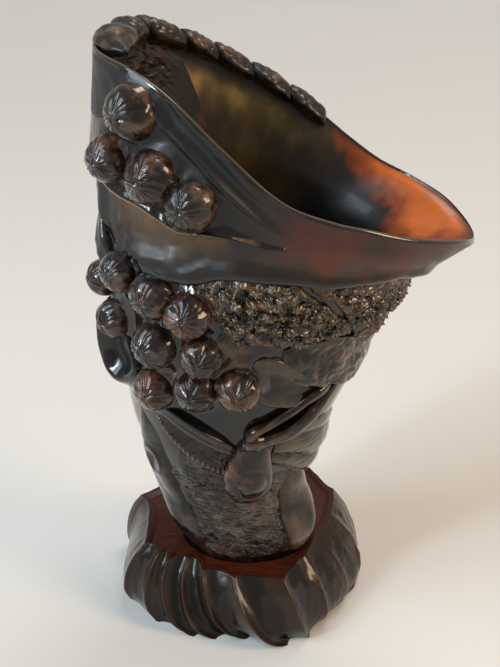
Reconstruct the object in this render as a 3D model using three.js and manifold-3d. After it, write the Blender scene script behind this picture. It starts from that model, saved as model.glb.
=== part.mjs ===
// A libation cup carved from one horn, standing in its own carved wooden stand. The bowl slants up from
// a low spout to a high back and is wrapped in leaves, fruit, berries and branches.
// Millimetres, +Z up, the spout towards +X, the fruit side towards -Y, the origin under the stand.
//
// A place on the horn's wall is given by its rise, a share of the way from the foot to the rim, and its
// turn in degrees: 0 at the spout, -90 on the fruit side, 180 at the high end, 90 on the back.

import * as THREE from 'three';
import Module from 'manifold-3d';
import { LoftGeometry } from 'three/addons/geometries/LoftGeometry.js';
import { mergeVertices } from 'three/addons/utils/BufferGeometryUtils.js';

const wasm = await Module();
wasm.setup();

// Sizes of the stand
const standLength = 87;
const standWidth = 78;
const standHeight = 24;
const standSetback = 3;
const standBelly = 2;
const dishDepth = 0.8;
const lipWidth = 3.5;
const fluteDepth = 3;
const seatDepth = 1.5;
const seatClearance = 0.5;
const seatGap = 0.3;

// Sizes of the cup
const cupHeight = 175;
const mouthLength = 113;
const mouthWidth = 82;
const rimThickness = 2.2;
const bowlThickness = 4.5;
const skirtStep = 1.2;
const skirtLip = 2.6;
const plugInset = 4;
const seam = 0.3;

// Sizes of the carving
const fruitDiameter = 13;
const upperFruitLift = 1.9;
const lowerFruitLift = 2.5;
const rimRollWidth = 11.2;
const rimRollHeight = 7.6;
const rimRollLift = 1.2;
const rimRollInset = 3.4;
const rimRollTuck = 3;
const cradleThickness = 3.2;
const leafThickness = 2.6;
const bladeThickness = 2.8;
const flapThickness = 2;
const berryHeight = 4.4;
const foldHeight = 2.8;
const twigDiameter = 5.5;
const stemDiameter = 15;
const branchDiameter = 10;
const columnDiameter = 8;
const curlHeight = 6.4;
const budDiameter = 16;
const lobeDiameter = 14;
const rockRoughness = 0.7;

// How far below the wall a carved piece starts before the horn is cut out of it
const rooting = 2.5;

// Facets
const aroundBowl = 44;
const aroundRock = 36;
const aroundFruit = 12;
const downFruit = 8;
const facetsPerFlute = 4;
const facetsPerLobe = 4;
const berryColumns = 24;
const berryRows = 8;

const footHeight = standHeight - dishDepth - seatDepth + seatGap;
const deg = Math.PI / 180;
const clamp = THREE.MathUtils.clamp;
const lerp = THREE.MathUtils.lerp;

// A soft step from 0 at low to 1 at high, and a hump of 1 round a middle
function smooth(low, high, value) {
  const share = clamp((value - low) / (high - low), 0, 1);
  return share * share * (3 - 2 * share);
}

function hump(middle, width, value) {
  return Math.exp(-(((value - middle) / width) ** 2));
}

// A smooth curve through rows of a place and one or more values
function curve(rows, column = 1) {
  const last = rows.length - 1;
  const slope = (i) => {
    const before = rows[Math.max(i - 1, 0)];
    const after = rows[Math.min(i + 1, last)];
    return (after[column] - before[column]) / (after[0] - before[0]);
  };
  return (place) => {
    const x = clamp(place, rows[0][0], rows[last][0]);
    let i = 0;
    while (i < last - 1 && rows[i + 1][0] < x) i += 1;
    const span = rows[i + 1][0] - rows[i][0];
    const t = (x - rows[i][0]) / span;
    const ease = t * t * (3 - 2 * t);
    const level = lerp(rows[i][column], rows[i + 1][column], ease);
    const lean = slope(i) * t * (1 - t) ** 2 - slope(i + 1) * t * t * (1 - t);
    return level + lean * span;
  };
}

// The slanted ovals of the wall, from the foot to the rim: rise, left end and right end as shares of the
// mouth's length, their heights as shares of the cup's height, half depth as a share of the mouth's width
const wallShares = [
  // rise, left end, its height, right end, its height, half depth
  [0.0, -0.168, 0.0, 0.212, 0.0, 0.207],
  [0.1, -0.221, 0.069, 0.23, 0.069, 0.244],
  [0.2, -0.239, 0.143, 0.19, 0.154, 0.25],
  [0.3, -0.274, 0.223, 0.222, 0.223, 0.293],
  [0.4, -0.31, 0.303, 0.255, 0.297, 0.341],
  [0.5, -0.327, 0.389, 0.306, 0.377, 0.39],
  [0.6, -0.336, 0.491, 0.362, 0.469, 0.427],
  [0.7, -0.354, 0.617, 0.42, 0.56, 0.451],
  [0.8, -0.363, 0.743, 0.461, 0.611, 0.47],
  [0.9, -0.372, 0.874, 0.56, 0.64, 0.488],
  [1.0, -0.363, 1.0, 0.637, 0.663, 0.5],
];
const leftEnd = curve(wallShares, 1);
const leftRise = curve(wallShares, 2);
const rightEnd = curve(wallShares, 3);
const rightRise = curve(wallShares, 4);
const halfDepth = curve(wallShares, 5);

// The rim in side view: share of the mouth's length, and its height on the fruit side and on the back as
// shares of the cup's height
const rimShares = [
  // length, fruit side, back
  [0.0, 1.0, 1.0],
  [0.1, 0.994, 0.985],
  [0.2, 0.963, 0.956],
  [0.33, 0.889, 0.912],
  [0.47, 0.811, 0.86],
  [0.6, 0.775, 0.806],
  [0.68, 0.759, 0.766],
  [0.77, 0.737, 0.728],
  [0.88, 0.711, 0.702],
  [0.95, 0.689, 0.685],
  [1.0, 0.663, 0.663],
];
const fruitSideRim = curve(rimShares, 1);
const backRim = curve(rimShares, 2);
const sagStartShare = 0.6;

// A point on the horn's outer wall
function wall(rise, turn) {
  const across = Math.cos(turn * deg);
  const aside = Math.sin(turn * deg);
  const along = (1 + across) / 2;
  const x = lerp(leftEnd(rise), rightEnd(rise), along) * mouthLength;
  const y = halfDepth(rise) * aside * mouthWidth;
  const rim = aside > 0 ? backRim : fruitSideRim;
  const sag = rim(along) - lerp(rim(0), rim(1), along);
  const grown = Math.max(0, (rise - sagStartShare) / (1 - sagStartShare)) ** 1.5;
  const height = lerp(leftRise(rise), rightRise(rise), along) + sag * grown;
  return new THREE.Vector3(x, y, footHeight + height * cupHeight);
}

// The directions in the wall at a place, up it and round it, and square out of it
const tinyShare = 0.004;
function directions(rise, turn) {
  const high = Math.min(rise + tinyShare, 1);
  const low = Math.max(rise - tinyShare, 0);
  const up = wall(high, turn).sub(wall(low, turn)).normalize();
  const round = wall(rise, turn + 1).sub(wall(rise, turn - 1)).normalize();
  const out = round.clone().cross(up).normalize();
  return { up, round, out };
}

// A point that stands proud of the wall, or below it where proud is negative
function onWall(rise, turn, proud) {
  return wall(rise, turn).addScaledVector(directions(rise, turn).out, proud);
}

// A gap as a share of the rise and as degrees of turn
const riseGap = (gap) => (2 * gap) / cupHeight;
const turnGap = (gap) => (2 * gap) / mouthWidth / deg;

// Closed solids and meshes
function solid(geometry) {
  const bare = new THREE.BufferGeometry().copy(geometry);
  bare.deleteAttribute('normal');
  bare.deleteAttribute('uv');
  const merged = mergeVertices(bare);
  const corners = merged.index.array;
  const faces = [];
  for (let i = 0; i < corners.length; i += 3) {
    const [a, b, c] = corners.slice(i, i + 3);
    if (a !== b && b !== c && c !== a) faces.push(a, b, c);
  }
  const mesh = new wasm.Mesh({
    numProp: 3,
    vertProperties: new Float32Array(merged.attributes.position.array),
    triVerts: new Uint32Array(faces),
  });
  return new wasm.Manifold(mesh);
}

function surface(manifold) {
  const { vertProperties, triVerts } = manifold.getMesh();
  const geometry = new THREE.BufferGeometry();
  geometry.setAttribute('position', new THREE.BufferAttribute(vertProperties, 3));
  geometry.setIndex(new THREE.BufferAttribute(triVerts, 1));
  geometry.computeVertexNormals();
  return geometry;
}

// Skins a run of sections. A hollow's floor closes on its middle instead of under a cap.
function loft(sections, capEnd = true) {
  return solid(new LoftGeometry(sections, { capStart: true, capEnd }));
}

function middleOf(points) {
  const sum = points.reduce((total, point) => total.add(point), new THREE.Vector3());
  return sum.divideScalar(points.length);
}

// Whole numbers from 0 to count, as shares of count
function steps(count) {
  return Array.from({ length: count + 1 }, (_, i) => i / count);
}

// Cuts the neighbours out of a piece and lets the chips fall away
function cut(piece, ...neighbours) {
  const rest = neighbours.reduce((whole, neighbour) => whole.subtract(neighbour), piece);
  return rest.decompose().sort((a, b) => b.volume() - a.volume())[0];
}

// The horn: a skirt of smooth bowl overhangs the carved wall below it
const plugStartShare = 0.17;
const rockTopShare = 0.27;
const shoulderShare = 0.274;
const skirtShares = [
  // turn, rise
  [-180, 0.79],
  [-160, 0.76],
  [-147, 0.735],
  [-139, 0.765],
  [-130, 0.758],
  [-117, 0.764],
  [-110, 0.777],
  [-103, 0.8],
  [-95, 0.818],
  [-80, 0.832],
  [-67, 0.832],
  [-47, 0.87],
  [-20, 0.858],
  [0, 0.84],
  [40, 0.82],
  [90, 0.8],
  [140, 0.79],
  [180, 0.79],
];
const skirtRise = curve(skirtShares);
const skirtGapShare = 0.008;
const skirtLipShares = [
  // turn, how far the rolled lip stands out
  [-180, 0.12],
  [-150, 0.31],
  [-142, 0.77],
  [-128, 1.0],
  [-114, 0.85],
  [-100, 0.5],
  [-84, 0.35],
  [-70, 0.35],
  [-40, 0.42],
  [0, 0.42],
  [60, 0.27],
  [180, 0.12],
];
const skirtLipOut = curve(skirtLipShares);
const aboveSkirtShares = [
  // share of the way to the rim, how much of the lip is left
  [0.0, 0.9],
  [0.07, 0.9],
  [0.22, 0.05],
  [0.45, 0.0],
  [0.72, 0.0],
  [1.0, 0.0],
];
const floorShare = 0.36;
const thinningShare = 0.15;
const belowSkirt = 5;
const insideRows = 7;

function wallThickness(rise) {
  const thinned = clamp((1 - rise) / thinningShare, 0, 1);
  return lerp(rimThickness, bowlThickness, thinned);
}

// Rows of the outer wall above a plug that sits in the rock. Each is a function of the turn that gives a
// rise and how far the row stands out.
function outerRows(grow) {
  const tip = plugStartShare - riseGap(grow);
  const rows = [() => [tip, -plugInset], () => [rockTopShare, -plugInset]];
  for (const share of steps(belowSkirt)) {
    rows.push((turn) => [lerp(shoulderShare, skirtRise(turn), share), 0]);
  }
  for (const [share, left] of aboveSkirtShares) {
    rows.push((turn) => {
      const start = skirtRise(turn) + skirtGapShare;
      return [lerp(start, 1, share), skirtStep * (1 - share) + skirtLip * left * skirtLipOut(turn)];
    });
  }
  return rows;
}

function ring(row, grow) {
  return steps(aroundBowl).slice(0, -1).map((share) => {
    const turn = share * 360 - 180;
    const [rise, proud] = row(turn);
    return onWall(rise, turn, proud + grow);
  });
}

// The horn without its hollow, grown by a gap: what the pieces outside it are cut by
function hornBlank(grow) {
  return loft(outerRows(grow).map((row) => ring(row, grow)));
}

const crestShare = 0.3;
function hornBowl(grow) {
  const raise = new THREE.Vector3(0, 0, rimThickness * crestShare + grow);
  const outside = outerRows(grow).map((row) => ring(row, grow));
  const crest = ring(() => [1, -rimThickness * 0.5], 0).map((point) => point.add(raise));
  const inside = steps(insideRows).map((share) => {
    const rise = lerp(1, floorShare, share);
    return ring(() => [rise, -wallThickness(rise)], -grow);
  });
  const floor = inside[insideRows];
  const centre = floor.map(() => middleOf(floor));
  return loft([...outside, crest, ...inside, centre], false);
}

// A piece spread over the wall between a low and a high edge, thick as its form says. Rows of the edges
// hold turn, low rise, high rise. Inside the bowl it stands on the inner face instead.
function spread(edgeShares, { columns, rows, height, form, grow = 0, inside = false }) {
  const low = curve(edgeShares, 1);
  const high = curve(edgeShares, 2);
  const first = edgeShares[0][0] - turnGap(grow);
  const last = edgeShares[edgeShares.length - 1][0] + turnGap(grow);
  const sections = steps(columns).map((along) => {
    const turn = lerp(first, last, along);
    const spot = (up, proud) => {
      const start = low(turn) - riseGap(grow);
      const end = Math.min(high(turn) + riseGap(grow), 1);
      const rise = lerp(start, end, up);
      return onWall(rise, turn, inside ? -wallThickness(rise) - proud : proud);
    };
    const root = inside ? rimThickness * 0.5 : rooting;
    const under = steps(rows).map((up) => spot(up, -root));
    const over = steps(rows).map((up) => spot(up, height * form(along, up) + grow));
    return [...under, ...over.reverse()];
  });
  return loft(inside ? sections.reverse() : sections);
}

// A round piece that runs along the wall. Rows of its spine hold rise, turn, height of its middle over
// the wall and half thickness, both as shares of its diameter.
function branch(spineShares, { diameter, rings, sides = 8, flat = 1, grow = 0 }) {
  const rows = spineShares.map((row, i) => [i, ...row]);
  const last = rows.length - 1;
  const [rise, turn, lift, radius] = [1, 2, 3, 4].map((column) => curve(rows, column));
  const centre = (at) => onWall(rise(at), turn(at), lift(at) * diameter);
  const sections = steps(rings).map((share) => {
    const at = share * last;
    const ahead = centre(Math.min(at + tinyShare, last));
    const forward = ahead.sub(centre(Math.max(at - tinyShare, 0))).normalize();
    const out = directions(rise(at), turn(at)).out;
    const side = forward.clone().cross(out).normalize();
    const square = side.clone().cross(forward);
    const reach = radius(at) * diameter + grow;
    return steps(sides).slice(0, -1).map((part) => {
      const angle = -part * 360 * deg;
      const point = centre(at).addScaledVector(side, Math.cos(angle) * reach);
      return point.addScaledVector(square, Math.sin(angle) * reach * flat);
    });
  });
  return loft(sections);
}

// A fruit: a ball a little flattened towards the wall
const fruitFlatShare = 0.95;
function fruit([rise, turn, sizeShare], lift, grow = 0) {
  const radius = fruitDiameter * sizeShare * 0.5 + grow;
  const ball = new THREE.SphereGeometry(radius, aroundFruit, downFruit);
  const { out } = directions(rise, turn);
  ball.scale(1, fruitFlatShare, 1);
  ball.applyQuaternion(new THREE.Quaternion().setFromUnitVectors(new THREE.Vector3(0, 1, 0), out));
  const middle = onWall(rise, turn, lift);
  ball.translate(middle.x, middle.y, middle.z);
  return solid(ball);
}

// Rows of the fruit: rise, turn, size as a share of the usual diameter
const upperFruitShares = [
  [0.96, -137, 1.2],
  [0.884, -148, 1.06],
  [0.894, -128, 1.22],
  [0.894, -115, 1.15],
];
const lowerFruitShares = [
  [0.688, -169.5, 0.9],
  [0.732, -145.5, 0.98],
  [0.722, -127.5, 1.1],
  [0.646, -156, 0.98],
  [0.712, -113.5, 1.1],
  [0.644, -128.5, 1.11],
  [0.646, -107.5, 1.02],
  [0.56, -130, 1.05],
  [0.582, -109.5, 1.0],
  [0.596, -92, 1.08],
];

// The leaf folded over the high end of the rim, rolled into lobes along the back of the mouth
const rollNotches = [206, 163, 147, 128, 115, 102, 89, 77];
const rollSizeShares = [1.12, 0.98, 1.04, 0.98, 0.95, 0.92, 0.86];
const rollNeckShare = 0.72;
const rollSides = 8;
const rollTaper = { from: 178, to: 212 };
const rollTuck = { from: 148, to: 172 };
function rimRoll(grow = 0) {
  const lobes = rollSizeShares.length;
  const sections = steps(lobes * facetsPerLobe).map((share) => {
    const lobe = Math.min(Math.floor(share * lobes), lobes - 1);
    const along = share * lobes - lobe;
    const turn = lerp(rollNotches[lobe], rollNotches[lobe + 1], along);
    const { round } = directions(1, turn);
    const up = new THREE.Vector3(0, 0, 1);
    const out = round.clone().cross(up).normalize();
    const rounded = Math.sin(Math.PI * clamp(along, 0, 1)) ** 0.3;
    const taper = smooth(rollTaper.to, rollTaper.from, turn) ** 0.6;
    const size = rollSizeShares[lobe] * lerp(rollNeckShare, 1, rounded) * taper;
    const inset = rimRollInset + rimRollTuck * smooth(rollTuck.from, rollTuck.to, turn);
    const middle = onWall(1, turn, -inset).addScaledVector(up, rimRollLift);
    return steps(rollSides).slice(0, -1).map((part) => {
      const angle = part * 360 * deg;
      const sideways = Math.cos(angle) * (rimRollWidth * 0.5 * size + grow);
      const upwards = Math.sin(angle) * (rimRollHeight * 0.5 * size + grow);
      return middle.clone().addScaledVector(out, sideways).addScaledVector(up, upwards);
    });
  });
  return loft(sections);
}

// The leaf's blade that drapes into the bowl: turn, low rise, high rise
const bladeShares = [
  [113, 0.85, 0.86],
  [117, 0.84, 0.9],
  [122, 0.835, 0.94],
  [128, 0.84, 0.975],
  [136, 0.84, 0.992],
  [150, 0.84, 0.995],
  [180, 0.86, 0.995],
  [200, 0.88, 0.992],
  [212, 0.93, 0.975],
];

// The leaf under the upper fruit, with a thin edge that stands clear of the smooth bowl
const cradleShares = [
  [-182, 0.88, 0.94],
  [-172, 0.86, 0.945],
  [-164, 0.852, 0.942],
  [-151, 0.851, 0.94],
  [-144, 0.846, 0.94],
  [-132, 0.846, 0.94],
  [-123, 0.844, 0.93],
  [-117, 0.846, 0.918],
  [-109, 0.867, 0.908],
  [-99, 0.893, 0.912],
  [-93, 0.903, 0.916],
  [-88, 0.914, 0.92],
];

const frontBerryShares = [
  [-113, 0.752, 0.758],
  [-110, 0.75, 0.775],
  [-104, 0.718, 0.79],
  [-99.5, 0.692, 0.81],
  [-94.5, 0.666, 0.822],
  [-90.5, 0.664, 0.832],
  [-86, 0.682, 0.836],
  [-80, 0.67, 0.83],
  [-71.5, 0.668, 0.797],
  [-60, 0.674, 0.752],
  [-52, 0.682, 0.716],
  [-48.5, 0.692, 0.702],
];
const sideBerryShares = [
  [-74, 0.818, 0.83],
  [-66, 0.79, 0.843],
  [-58, 0.755, 0.858],
  [-50, 0.7, 0.864],
  [-42, 0.658, 0.862],
  [-34, 0.652, 0.855],
  [-26, 0.672, 0.845],
  [-15, 0.688, 0.83],
  [0, 0.685, 0.8],
  [20, 0.69, 0.78],
  [42, 0.71, 0.755],
];

// Leaves under the berries: a rough flap and a small leaf that lies hollow
const flapShares = [
  [-76, 0.636, 0.662],
  [-71, 0.61, 0.672],
  [-64, 0.592, 0.675],
  [-56, 0.585, 0.678],
  [-48, 0.578, 0.675],
  [-38, 0.566, 0.66],
  [-30, 0.56, 0.645],
  [-15, 0.58, 0.64],
  [0, 0.6, 0.63],
];
const sideLeafShares = [
  [-90, 0.6, 0.625],
  [-86, 0.575, 0.645],
  [-78, 0.55, 0.648],
  [-70, 0.542, 0.63],
  [-62, 0.536, 0.61],
  [-54, 0.538, 0.588],
  [-44, 0.552, 0.565],
];

const curlShares = [
  [-191, 0.585, 0.6],
  [-186, 0.55, 0.64],
  [-179, 0.53, 0.665],
  [-170, 0.518, 0.668],
  [-160, 0.512, 0.645],
  [-151, 0.52, 0.615],
  [-144, 0.538, 0.592],
  [-139, 0.556, 0.572],
];
const serratedShares = [
  [-133, 0.486, 0.5],
  [-126, 0.44, 0.523],
  [-119, 0.408, 0.52],
  [-111, 0.378, 0.508],
  [-102, 0.346, 0.486],
  [-94, 0.32, 0.462],
  [-87, 0.308, 0.436],
  [-81, 0.32, 0.4],
];
const foldedShares = [
  [-66, 0.36, 0.45],
  [-54.5, 0.331, 0.475],
  [-40, 0.29, 0.475],
  [-22, 0.26, 0.45],
  [0, 0.25, 0.42],
  [14, 0.27, 0.39],
];
const backLeafShares = [
  [68, 0.8, 0.93],
  [84, 0.66, 0.955],
  [105, 0.56, 0.965],
  [128, 0.53, 0.965],
  [150, 0.6, 0.96],
  [166, 0.76, 0.955],
];

// Spines: rise, turn, lift share, half thickness share
const twigShares = [
  [0.57, -45, 0.2, 0.2],
  [0.556, -56.5, 0.42, 0.27],
  [0.54, -62, 0.52, 0.28],
  [0.522, -68.5, 0.55, 0.28],
  [0.502, -75.5, 0.58, 0.34],
  [0.49, -80.5, 0.62, 0.5],
  [0.464, -81, 0.62, 0.5],
  [0.418, -75, 0.6, 0.36],
  [0.364, -69, 0.6, 0.3],
  [0.302, -68, 0.55, 0.26],
  [0.256, -75.5, 0.3, 0.15],
];
const stemShares = [
  [0.52, -152, -0.16, 0.2],
  [0.452, -147, -0.14, 0.34],
  [0.4, -145, -0.12, 0.42],
  [0.338, -146, -0.1, 0.48],
  [0.266, -149, -0.1, 0.52],
  [0.202, -148, -0.12, 0.52],
  [0.15, -141, -0.12, 0.5],
  [0.1, -131, -0.14, 0.44],
  [0.05, -122, -0.18, 0.34],
];
const columnShares = [
  [0.872, -174, -0.2, 0.28],
  [0.82, -173, -0.15, 0.3],
  [0.78, -171, -0.1, 0.32],
  [0.745, -167, -0.05, 0.5],
  [0.71, -164, -0.1, 0.5],
  [0.68, -163, -0.2, 0.3],
];
const budShares = [
  [0.47, -92, -0.1, 0.16],
  [0.44, -89, 0, 0.34],
  [0.4, -86, 0.05, 0.46],
  [0.35, -83, 0.08, 0.52],
  [0.305, -81, 0.08, 0.48],
  [0.275, -81, 0.05, 0.34],
  [0.256, -82, 0.02, 0.12],
];
const lobeShares = [
  [0.3, -45, -0.1, 0.16],
  [0.25, -38, -0.02, 0.38],
  [0.19, -33, 0.0, 0.5],
  [0.13, -36, 0.0, 0.52],
  [0.075, -42, -0.02, 0.46],
  [0.03, -48, -0.05, 0.3],
];
const backBranchShares = [
  [0.6, 112, 0.1, 0.35],
  [0.5, 104, 0.15, 0.42],
  [0.4, 112, 0.2, 0.46],
  [0.3, 128, 0.2, 0.5],
  [0.2, 140, 0.12, 0.5],
  [0.12, 130, 0.05, 0.4],
];

// How thick a carved piece stands along it and across it, as a share of its height
function arch(share, ease) {
  return Math.sin(Math.PI * clamp(share, 0, 1)) ** ease;
}

function domed(along, up, ends = 0.4, edges = 0.5) {
  return arch(along, ends) * arch(up, edges);
}

// Thick at its low edge, thin at the free edge above
const freeEdgeShare = 0.12;
function lipped(along, up) {
  return arch(along, 0.35) * lerp(1, freeEdgeShare, smooth(0, 1, up) ** 0.7);
}

const slopeShare = 0.4;
function sloped(along, up) {
  return arch(along, 0.4) * lerp(1, slopeShare, up);
}

// A mat of round lumps, each two facets long and two wide
const berryBaseShare = 0.58;
const berrySwellShare = 0.3;
function berried(along, up) {
  const column = Math.sin(Math.PI * 0.5 * berryColumns * along);
  const row = Math.sin(Math.PI * 0.5 * berryRows * up);
  return domed(along, up, 0.3, 0.35) * (berryBaseShare + berrySwellShare * Math.abs(column * row));
}

// Folds that run along the leaf and climb a little
const folds = 2.1;
const foldClimb = 0.3;
const foldBaseShare = 0.42;
function pleated(along, up) {
  const fold = Math.abs(Math.sin(Math.PI * (folds * up + foldClimb * along))) ** 0.7;
  return domed(along, up) * lerp(foldBaseShare, 1, fold);
}

// Veins that slant across the leaf
const veins = 4.5;
const veinSlant = 1.9;
const veinBaseShare = 0.7;
function ribbed(along, up) {
  const vein = Math.abs(Math.cos(Math.PI * (veins * along - veinSlant * up)));
  return domed(along, up, 0.45, 0.45) * lerp(veinBaseShare, 1, vein);
}

const bladeRibs = 2.5;
const bladeRibSlant = 2.2;
const bladeBaseShare = 0.7;
const bladeRibShare = 0.4;
function pleatedBlade(along, up) {
  const rib = Math.abs(Math.sin(Math.PI * (bladeRibs * up - bladeRibSlant * along)));
  return arch(along, 0.5) * (bladeBaseShare + bladeRibShare * rib);
}

// A leaf curled into a cup, deepest a little past its middle
const cupAlong = 0.56;
const cupUp = 0.6;
const cupLength = 0.3;
const cupWidth = 0.34;
const cupDepthShare = 0.8;
function cupped(along, up) {
  const away = Math.hypot((along - cupAlong) / cupLength, (up - cupUp) / cupWidth);
  return domed(along, up, 0.32, 0.34) * (1 - cupDepthShare * hump(0, 0.85, away));
}

// A leaf that lies hollow inside a raised rim
const hollowLeft = 0.12;
function hollowed(along, up) {
  const inward = smooth(0.05, 0.4, Math.min(up, 1 - up)) * smooth(0.04, 0.25, Math.min(along, 1 - along));
  return domed(along, up, 0.35, 0.2) * lerp(1, hollowLeft, inward);
}

// The rock that the horn stands on
const rockRows = 7;
const rockWaves = [0.31, 17, 0.11, -9];
function rock(grow = 0) {
  const sections = steps(rockRows).map((share) => {
    const rise = share * (rockTopShare + riseGap(grow));
    const round = steps(aroundRock).slice(0, -1);
    return round.map((part) => {
      const turn = part * 360 - 180;
      const [a, b, c, d] = rockWaves;
      const rough = Math.sin(turn * a + share * b) * Math.sin(turn * c + share * d);
      const faded = Math.sin(Math.PI * share);
      return onWall(rise, turn, grow + rockRoughness * rough * faded);
    });
  });
  return loft(sections);
}

// The stand: a low oval block, its side carved in slanting flutes between ridges, with one broad scoop
// at the right, its top dished and let in to hold the foot
const standHeightShares = [0, 0.12, 0.35, 0.65, 0.88, 1];
const ridgeShares = [
  // bottom turn, bottom size, top turn, top size, depth of the flute after it at the bottom and the top
  [-197.7, 1.043, -205.3, 0.976, 0.47, 2.13],
  [-157.9, 1.017, -157.9, 0.877, 0.5, 0.87],
  [-134.9, 0.983, -145.1, 0.827, 0.8, 1.0],
  [-113.6, 0.971, -136.9, 0.83, 0.8, 1.2],
  [-102.6, 0.948, -127.9, 0.707, 1.0, 1.0],
  [-86.4, 0.923, -112.7, 0.776, 0.93, 0.8],
  [-68.2, 1.069, -93.6, 0.8, 1.0, 0.73],
  [-56.9, 1.06, -66.4, 0.89, 0.73, 0.67],
  [-43.1, 0.96, -43.1, 0.719, 0.33, 0.17],
  [-28.5, 0.955, -17.7, 0.673, 0.27, 0.17],
  [-13.3, 1.008, 8.9, 0.783, 0.33, 0.27],
  [2.2, 1.025, 32.8, 0.961, 0.47, 0.47],
  [19.9, 1.042, 55.0, 1.079, 0.8, 0.93],
  [43.1, 1.052, 77.4, 1.001, 0.8, 1.0],
  [66.4, 1.031, 97.2, 0.959, 0.8, 1.0],
  [90.0, 1.024, 115.5, 0.957, 0.73, 1.0],
  [115.5, 1.023, 133.9, 0.975, 0.73, 0.87],
];
const standFacets = ridgeShares.length * facetsPerFlute;
const lipFlatShare = 0.34;
const lipSinkShare = 0.15;

// How the side rises: how soon it turns and widens, how round the flutes are and how much deeper halfway
// up, and how far the belly is drawn in at the foot and at the lip
const turnEase = 0.55;
const widenEase = 1.6;
const deepenEase = 1.2;
const fluteEase = 0.85;
const middleDepthShare = 0.53;
const drawnAtFoot = { share: 0.8, width: 0.14 };
const drawnAtLip = { share: 0.5, width: 0.12 };

// A point of the side by its column, counted in ridges, and its share of the height
function standPoint(column, heightShare, inset) {
  const count = ridgeShares.length;
  const ridge = Math.floor(column) % count;
  const share = column - Math.floor(column);
  const before = ridgeShares[ridge];
  const lap = ridge + 1 === count ? 360 : 0;
  const after = ridgeShares[(ridge + 1) % count];
  const footTurn = lerp(before[0], after[0] + lap, share);
  const topTurn = lerp(before[2], after[2] + lap, share);
  const turn = lerp(footTurn, topTurn, heightShare ** turnEase);
  const footSize = lerp(before[1], after[1], share);
  const topSize = lerp(before[3], after[3], share);
  const size = lerp(footSize, topSize, heightShare ** widenEase);
  const middle = Math.sin(Math.PI * heightShare);
  const hollow = (4 * share * (1 - share)) ** fluteEase;
  const deep = lerp(before[4], before[5], heightShare ** deepenEase) + middleDepthShare * middle;
  const atFoot = drawnAtFoot.share * hump(0, drawnAtFoot.width, heightShare);
  const atLip = drawnAtLip.share * hump(1, drawnAtLip.width, heightShare);
  const belly = middle - atFoot - atLip;
  const back = fluteDepth * hollow * deep - standBelly * belly + inset;
  const x = Math.cos(turn * deg) * (standLength * 0.5 * size - back);
  const y = Math.sin(turn * deg) * (standWidth * 0.5 * size - back);
  return new THREE.Vector3(x, y + standSetback, standHeight * heightShare);
}

function standRing(heightShare, inset, sink) {
  return steps(standFacets).slice(0, -1).map((part) => {
    const point = standPoint(part * ridgeShares.length, heightShare, inset);
    point.z -= sink;
    return point;
  });
}

function standBlock() {
  const sides = standHeightShares.map((heightShare) => standRing(heightShare, 0, 0));
  const lip = standRing(1, lipWidth * lipFlatShare, dishDepth * lipSinkShare);
  const dish = standRing(1, lipWidth, dishDepth);
  const centre = dish.map(() => middleOf(dish));
  return loft([...sides, lip, dish, centre], false);
}

// The recess for the foot follows the rock's flare, a clearance wider all round
const seatTopShare = 0.04;
function seat() {
  const wide = (rise) => ring(() => [rise, seatClearance + rockRoughness], 0);
  const floor = wide(0).map((point) => point.setZ(footHeight - seatGap));
  return loft([floor, wide(seatTopShare * 0.5), wide(seatTopShare)]);
}

// Materials
const horn = new THREE.MeshStandardMaterial({ color: 0x2b1d18, roughness: 0.22, metalness: 0 });
const hornBrown = new THREE.MeshStandardMaterial({ color: 0x3a261c, roughness: 0.28, metalness: 0 });
const wood = new THREE.MeshStandardMaterial({ color: 0x4a1d10, roughness: 0.3, metalness: 0 });

const cup = new THREE.Group();
function place(name, manifold, material = hornBrown) {
  const mesh = new THREE.Mesh(surface(manifold), material);
  mesh.name = name;
  cup.add(mesh);
}

// The carved pieces, each cut by the horn and by the neighbours already placed
const blank = hornBlank(seam);
const shell = hornBowl(seam);
place('stand', cut(standBlock(), seat()), wood);
place('horn_bowl', hornBowl(0), horn);
place('rock_foot', cut(rock(), blank));

const grownRock = rock(seam);
const placed = [blank, grownRock];
function carve(name, make) {
  place(name, cut(make(0), ...placed));
  placed.push(make(seam));
}

const cradle = { columns: 16, rows: 2, height: cradleThickness, form: lipped };
carve('cradle_leaf', (grow) => spread(cradleShares, { ...cradle, grow }));

function carveFruit(name, rows, lift) {
  rows.forEach((row, i) => carve(`${name}_${i + 1}`, (grow) => fruit(row, lift, grow)));
}
carveFruit('upper_fruit', upperFruitShares, upperFruitLift);
carveFruit('lower_fruit', lowerFruitShares, lowerFruitLift);
carve('bud', (grow) => branch(budShares, { diameter: budDiameter, rings: 10, sides: 10, flat: 0.55, grow }));
carve('bent_twig', (grow) => branch(twigShares, { diameter: twigDiameter, rings: 22, grow }));
carve('left_stem', (grow) => branch(stemShares, { diameter: stemDiameter, rings: 14, flat: 0.5, grow }));
carve('rear_column', (grow) => branch(columnShares, { diameter: columnDiameter, rings: 9, grow }));
carve('foot_lobe', (grow) => branch(lobeShares, { diameter: lobeDiameter, rings: 9, flat: 0.55, grow }));
carve('back_branch', (grow) => branch(backBranchShares, { diameter: branchDiameter, rings: 12, grow }));

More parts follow.
